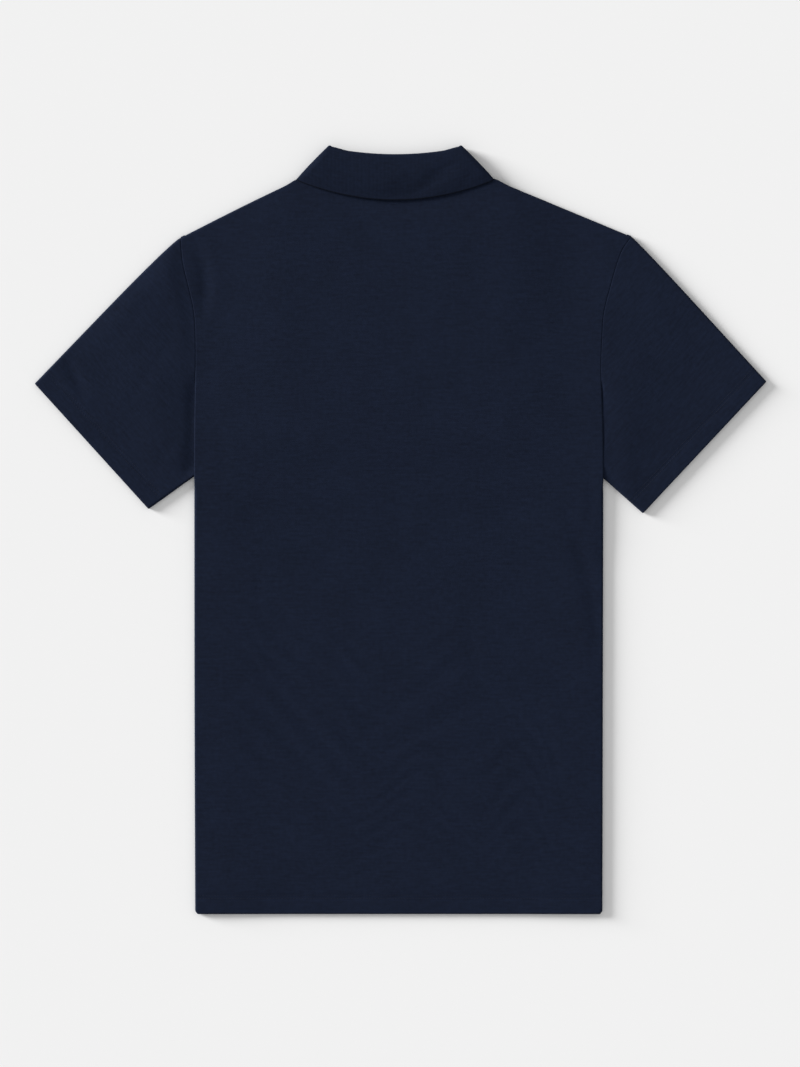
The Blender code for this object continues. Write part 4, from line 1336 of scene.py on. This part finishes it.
# %% [markdown]
# ## Sewing
#
# Hems of knitwear are closed with a twin needle: two rows of short, straight stitches side by side, which
# stretch with the cloth. The bands have one row along each edge and a small box at their foot, and each
# buttonhole is a slit bound by a dense bead of thread. One Geometry Nodes tree sews them all. It walks along
# a path, sets one small thread loop at each step, turned along the path, and sinks it half into the cloth.

# %% One tree that sews
def sewing_tree():
    """Path to curve, points along it, a thread loop on each, made real, smoothed and given its material."""
    tree = bpy.data.node_groups.new("Sewing", "GeometryNodeTree")
    face = tree.interface
    face.new_socket("Geometry", in_out="INPUT", socket_type="NodeSocketGeometry")
    for name, value in (("Stitch length", 0.0021), ("Step", 0.0028), ("Thread radius", 0.00021)):
        socket = face.new_socket(name, in_out="INPUT", socket_type="NodeSocketFloat")
        socket.default_value = value
    face.new_socket("Thread", in_out="INPUT", socket_type="NodeSocketMaterial")
    face.new_socket("Geometry", in_out="OUTPUT", socket_type="NodeSocketGeometry")
    nodes = Nodes(tree)
    start, end = nodes.add("NodeGroupInput"), nodes.add("NodeGroupOutput")
    path, points = nodes.add("GeometryNodeMeshToCurve"), nodes.add("GeometryNodeCurveToPoints", mode="LENGTH")
    thread = nodes.add("GeometryNodeMeshUVSphere", {"Segments": 6, "Rings": 5, "Radius": 1.0})
    size = nodes.add("ShaderNodeCombineXYZ")
    nodes.join(nodes.math("MULTIPLY", start.outputs["Stitch length"], 0.5), size.inputs["Z"])
    sew, real = nodes.add("GeometryNodeInstanceOnPoints"), nodes.add("GeometryNodeRealizeInstances")
    smooth, paint = nodes.add("GeometryNodeSetShadeSmooth"), nodes.add("GeometryNodeSetMaterial")
    links = (
        (start, "Geometry", path, "Mesh"), (path, "Curve", points, "Curve"), (start, "Step", points, "Length"),
        (points, "Points", sew, "Points"), (points, "Rotation", sew, "Rotation"), (thread, "Mesh", sew, "Instance"),
        (start, "Thread radius", size, "X"), (start, "Thread radius", size, "Y"), (size, "Vector", sew, "Scale"),
        (sew, "Instances", real, "Geometry"), (real, "Geometry", smooth, "Geometry"),
        (smooth, "Geometry", paint, "Geometry"), (start, "Thread", paint, "Material"),
        (paint, "Geometry", end, "Geometry"),
    )
    for source, output, target, slot in links:
        nodes.join(source.outputs[output], target.inputs[slot])
    return tree


SEWING = sewing_tree()
print("sewing tree of %d nodes" % len(SEWING.nodes))


# %% Thread, and how a path is sewn
def sew(name, paths, material, **sizes):
    """Stitches along paths of (x, y, z) in millimetres; sizes are the tree's inputs, in metres."""
    verts, edges = [], []
    for path in paths:
        first = len(verts)
        verts += [place(*p) for p in path]
        edges += [(k, k + 1) for k in range(first, len(verts) - 1)]
    mesh = bpy.data.meshes.new(name)
    mesh.from_pydata(verts, edges, [])
    made = add_object(name, mesh)
    maker = made.modifiers.new("Sewing", "NODES")
    maker.node_group = SEWING
    named = {s.name: s.identifier for s in SEWING.interface.items_tree if s.in_out == "INPUT"}
    maker[named["Thread"]] = material
    for key_name, value in sizes.items():
        maker[named[key_name.replace("_", " ")]] = value
    as_plain_mesh(made)
    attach(made, "root")
    print("%s: %d faces" % (name, len(made.data.polygons)))
    return made


thread_finish = plain_material("navy thread", (0.0070, 0.0105, 0.0225), 0.65, {"Specular IOR Level": 0.15})
print("thread:", thread_finish.name)

# %% Twin rows on the hem and cuffs
ROW_END = 2.4            # a row stops this far from the side's edge
ROW_PARTS = 130
THREAD_LOW = 0.21        # no thread's middle lies lower than its own radius


def body_row(y, face, creases, seed):
    """One row across the hem of the back or the front."""
    path = []
    for k in range(ROW_PARTS + 1):
        x = mix(side_x(1, y) + ROW_END, side_x(2, y) - ROW_END, k / ROW_PARTS)
        soft = body_relief(x, y, creases, seed)
        path.append((x, y, top_of_back(x, y) + soft if face > 0 else max(THREAD_LOW, bottom_of_front(x, y) - soft)))
    return path


def cuff_row(sleeve, inset):
    """One row right round a cuff."""
    path = []
    for i in range(len(sleeve.stations) + 1):
        i %= len(sleeve.stations)
        s = 1.0 - inset / sleeve.lengths[i]
        p = lifted(sleeve, i, s, sleeve.point(i, s))
        path.append((p.x, p.y, max(p.z, THREAD_LOW)))
    return path


rows = [body_row(y, 1, BACK_CREASES, BACK_SEED) for y in TWIN]
rows += [body_row(y, -1, FRONT_CREASES, FRONT_SEED) for y in TWIN]
sew("hem_stitches", rows, thread_finish)
sew("cuff_stitches", [cuff_row(SLEEVES[sign], inset) for sign in (-1, 1) for inset in TWIN], thread_finish)

# %% Rows on the bands, and the buttonholes
BUTTON_Y = (618.0, 556.0, 494.0)
EDGE_ROW = 1.6                # a row runs this far inside a band's edge
BOX_DEPTH = 6.0               # depth of the stitched box at the foot
PATH_STEP = 4.0
BAND_Z = FRONT_LIFT - 0.04    # threads lie half sunk in the outer band
HOLE_LENGTH, BEAD_HALF = 14.4, 1.3   # a buttonhole's length, and half the width of its bead
HOLE_PARTS = 40


def band_rows():
    """A row along each edge of the outer band, and two across its foot."""
    x0, x1 = NECK_X - PLACKET_WIDTH / 2 + EDGE_ROW, NECK_X + PLACKET_WIDTH / 2 - EDGE_ROW
    low, high = PLACKET_LOW_Y + SEAM + EDGE_ROW, NECK_FRONT_Y - 2.2
    up, across = steps_between(low, high, PATH_STEP), steps_between(x0, x1, PATH_STEP)
    paths = [[(x, y, BAND_Z) for y in up] for x in (x0, x1)]
    return paths + [[(x, y, BAND_Z) for x in across] for y in (low, low + BOX_DEPTH)]


def buttonhole(y):
    """A long closed loop round the slit."""
    path = []
    for k in range(HOLE_PARTS + 1):
        a = 2 * math.pi * k / HOLE_PARTS
        x, up = math.cos(a) * BEAD_HALF, math.sin(a) * BEAD_HALF
        stretch = HOLE_LENGTH / 2 - BEAD_HALF
        path.append((NECK_X + x, y + up + (stretch if up > 1e-6 else -stretch if up < -1e-6 else 0.0), BAND_Z))
    return path


sew("band_stitches", band_rows(), thread_finish)
sew("buttonholes", [buttonhole(y) for y in BUTTON_Y], thread_finish,
    Stitch_length=0.0007, Step=0.0005, Thread_radius=0.0003)

# %% [markdown]
# ## Buttons
#
# The three buttons are plain four-hole discs, dished on their outer face. Their solids already have the
# right shape, so they stay and get a finish of dark, slightly cloudy resin. Each is held by two bars of
# thread across its holes.

# %% Buttons
resin = plain_material("button resin", (0.012, 0.016, 0.032), 0.28, {"Coat Weight": 0.25})
nodes = Nodes(resin.node_tree)
cloud = nodes.add("ShaderNodeTexNoise", {"Scale": 420.0})
ground = nodes.add("ShaderNodeTexCoord")
shades = nodes.add("ShaderNodeMix", data_type="RGBA")
set_inputs(shades, {"A": (0.009, 0.012, 0.025, 1.0), "B": (0.018, 0.023, 0.044, 1.0)})
nodes.join(ground.outputs["Object"], cloud.inputs["Vector"])
nodes.join(cloud.outputs["Fac"], shades.inputs["Factor"])
nodes.join(shades.outputs["Result"], nodes.shader.inputs["Base Color"])
for number in (1, 2, 3):
    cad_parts["button_%d" % number].material_slots[0].material = resin
print("buttons:", len(BUTTON_Y))

# %% Thread through the buttons
HOLE_SPREAD = 1.5      # the holes lie this far from a button's middle
bars = []
for y in BUTTON_Y:
    for side in (-1, 1):
        x = NECK_X + side * HOLE_SPREAD
        bars.append([(x, y - 1.9, 1.4), (x, y - 1.5, 0.45), (x, y, 0.3), (x, y + 1.5, 0.45), (x, y + 1.9, 1.4)])
sew("button_thread", bars, thread_finish, Stitch_length=0.0012, Step=0.0005, Thread_radius=0.00032)

# %% [markdown]
# ## Size
#
# Creases and rolled edges pass the solids by a millimetre or two at most.
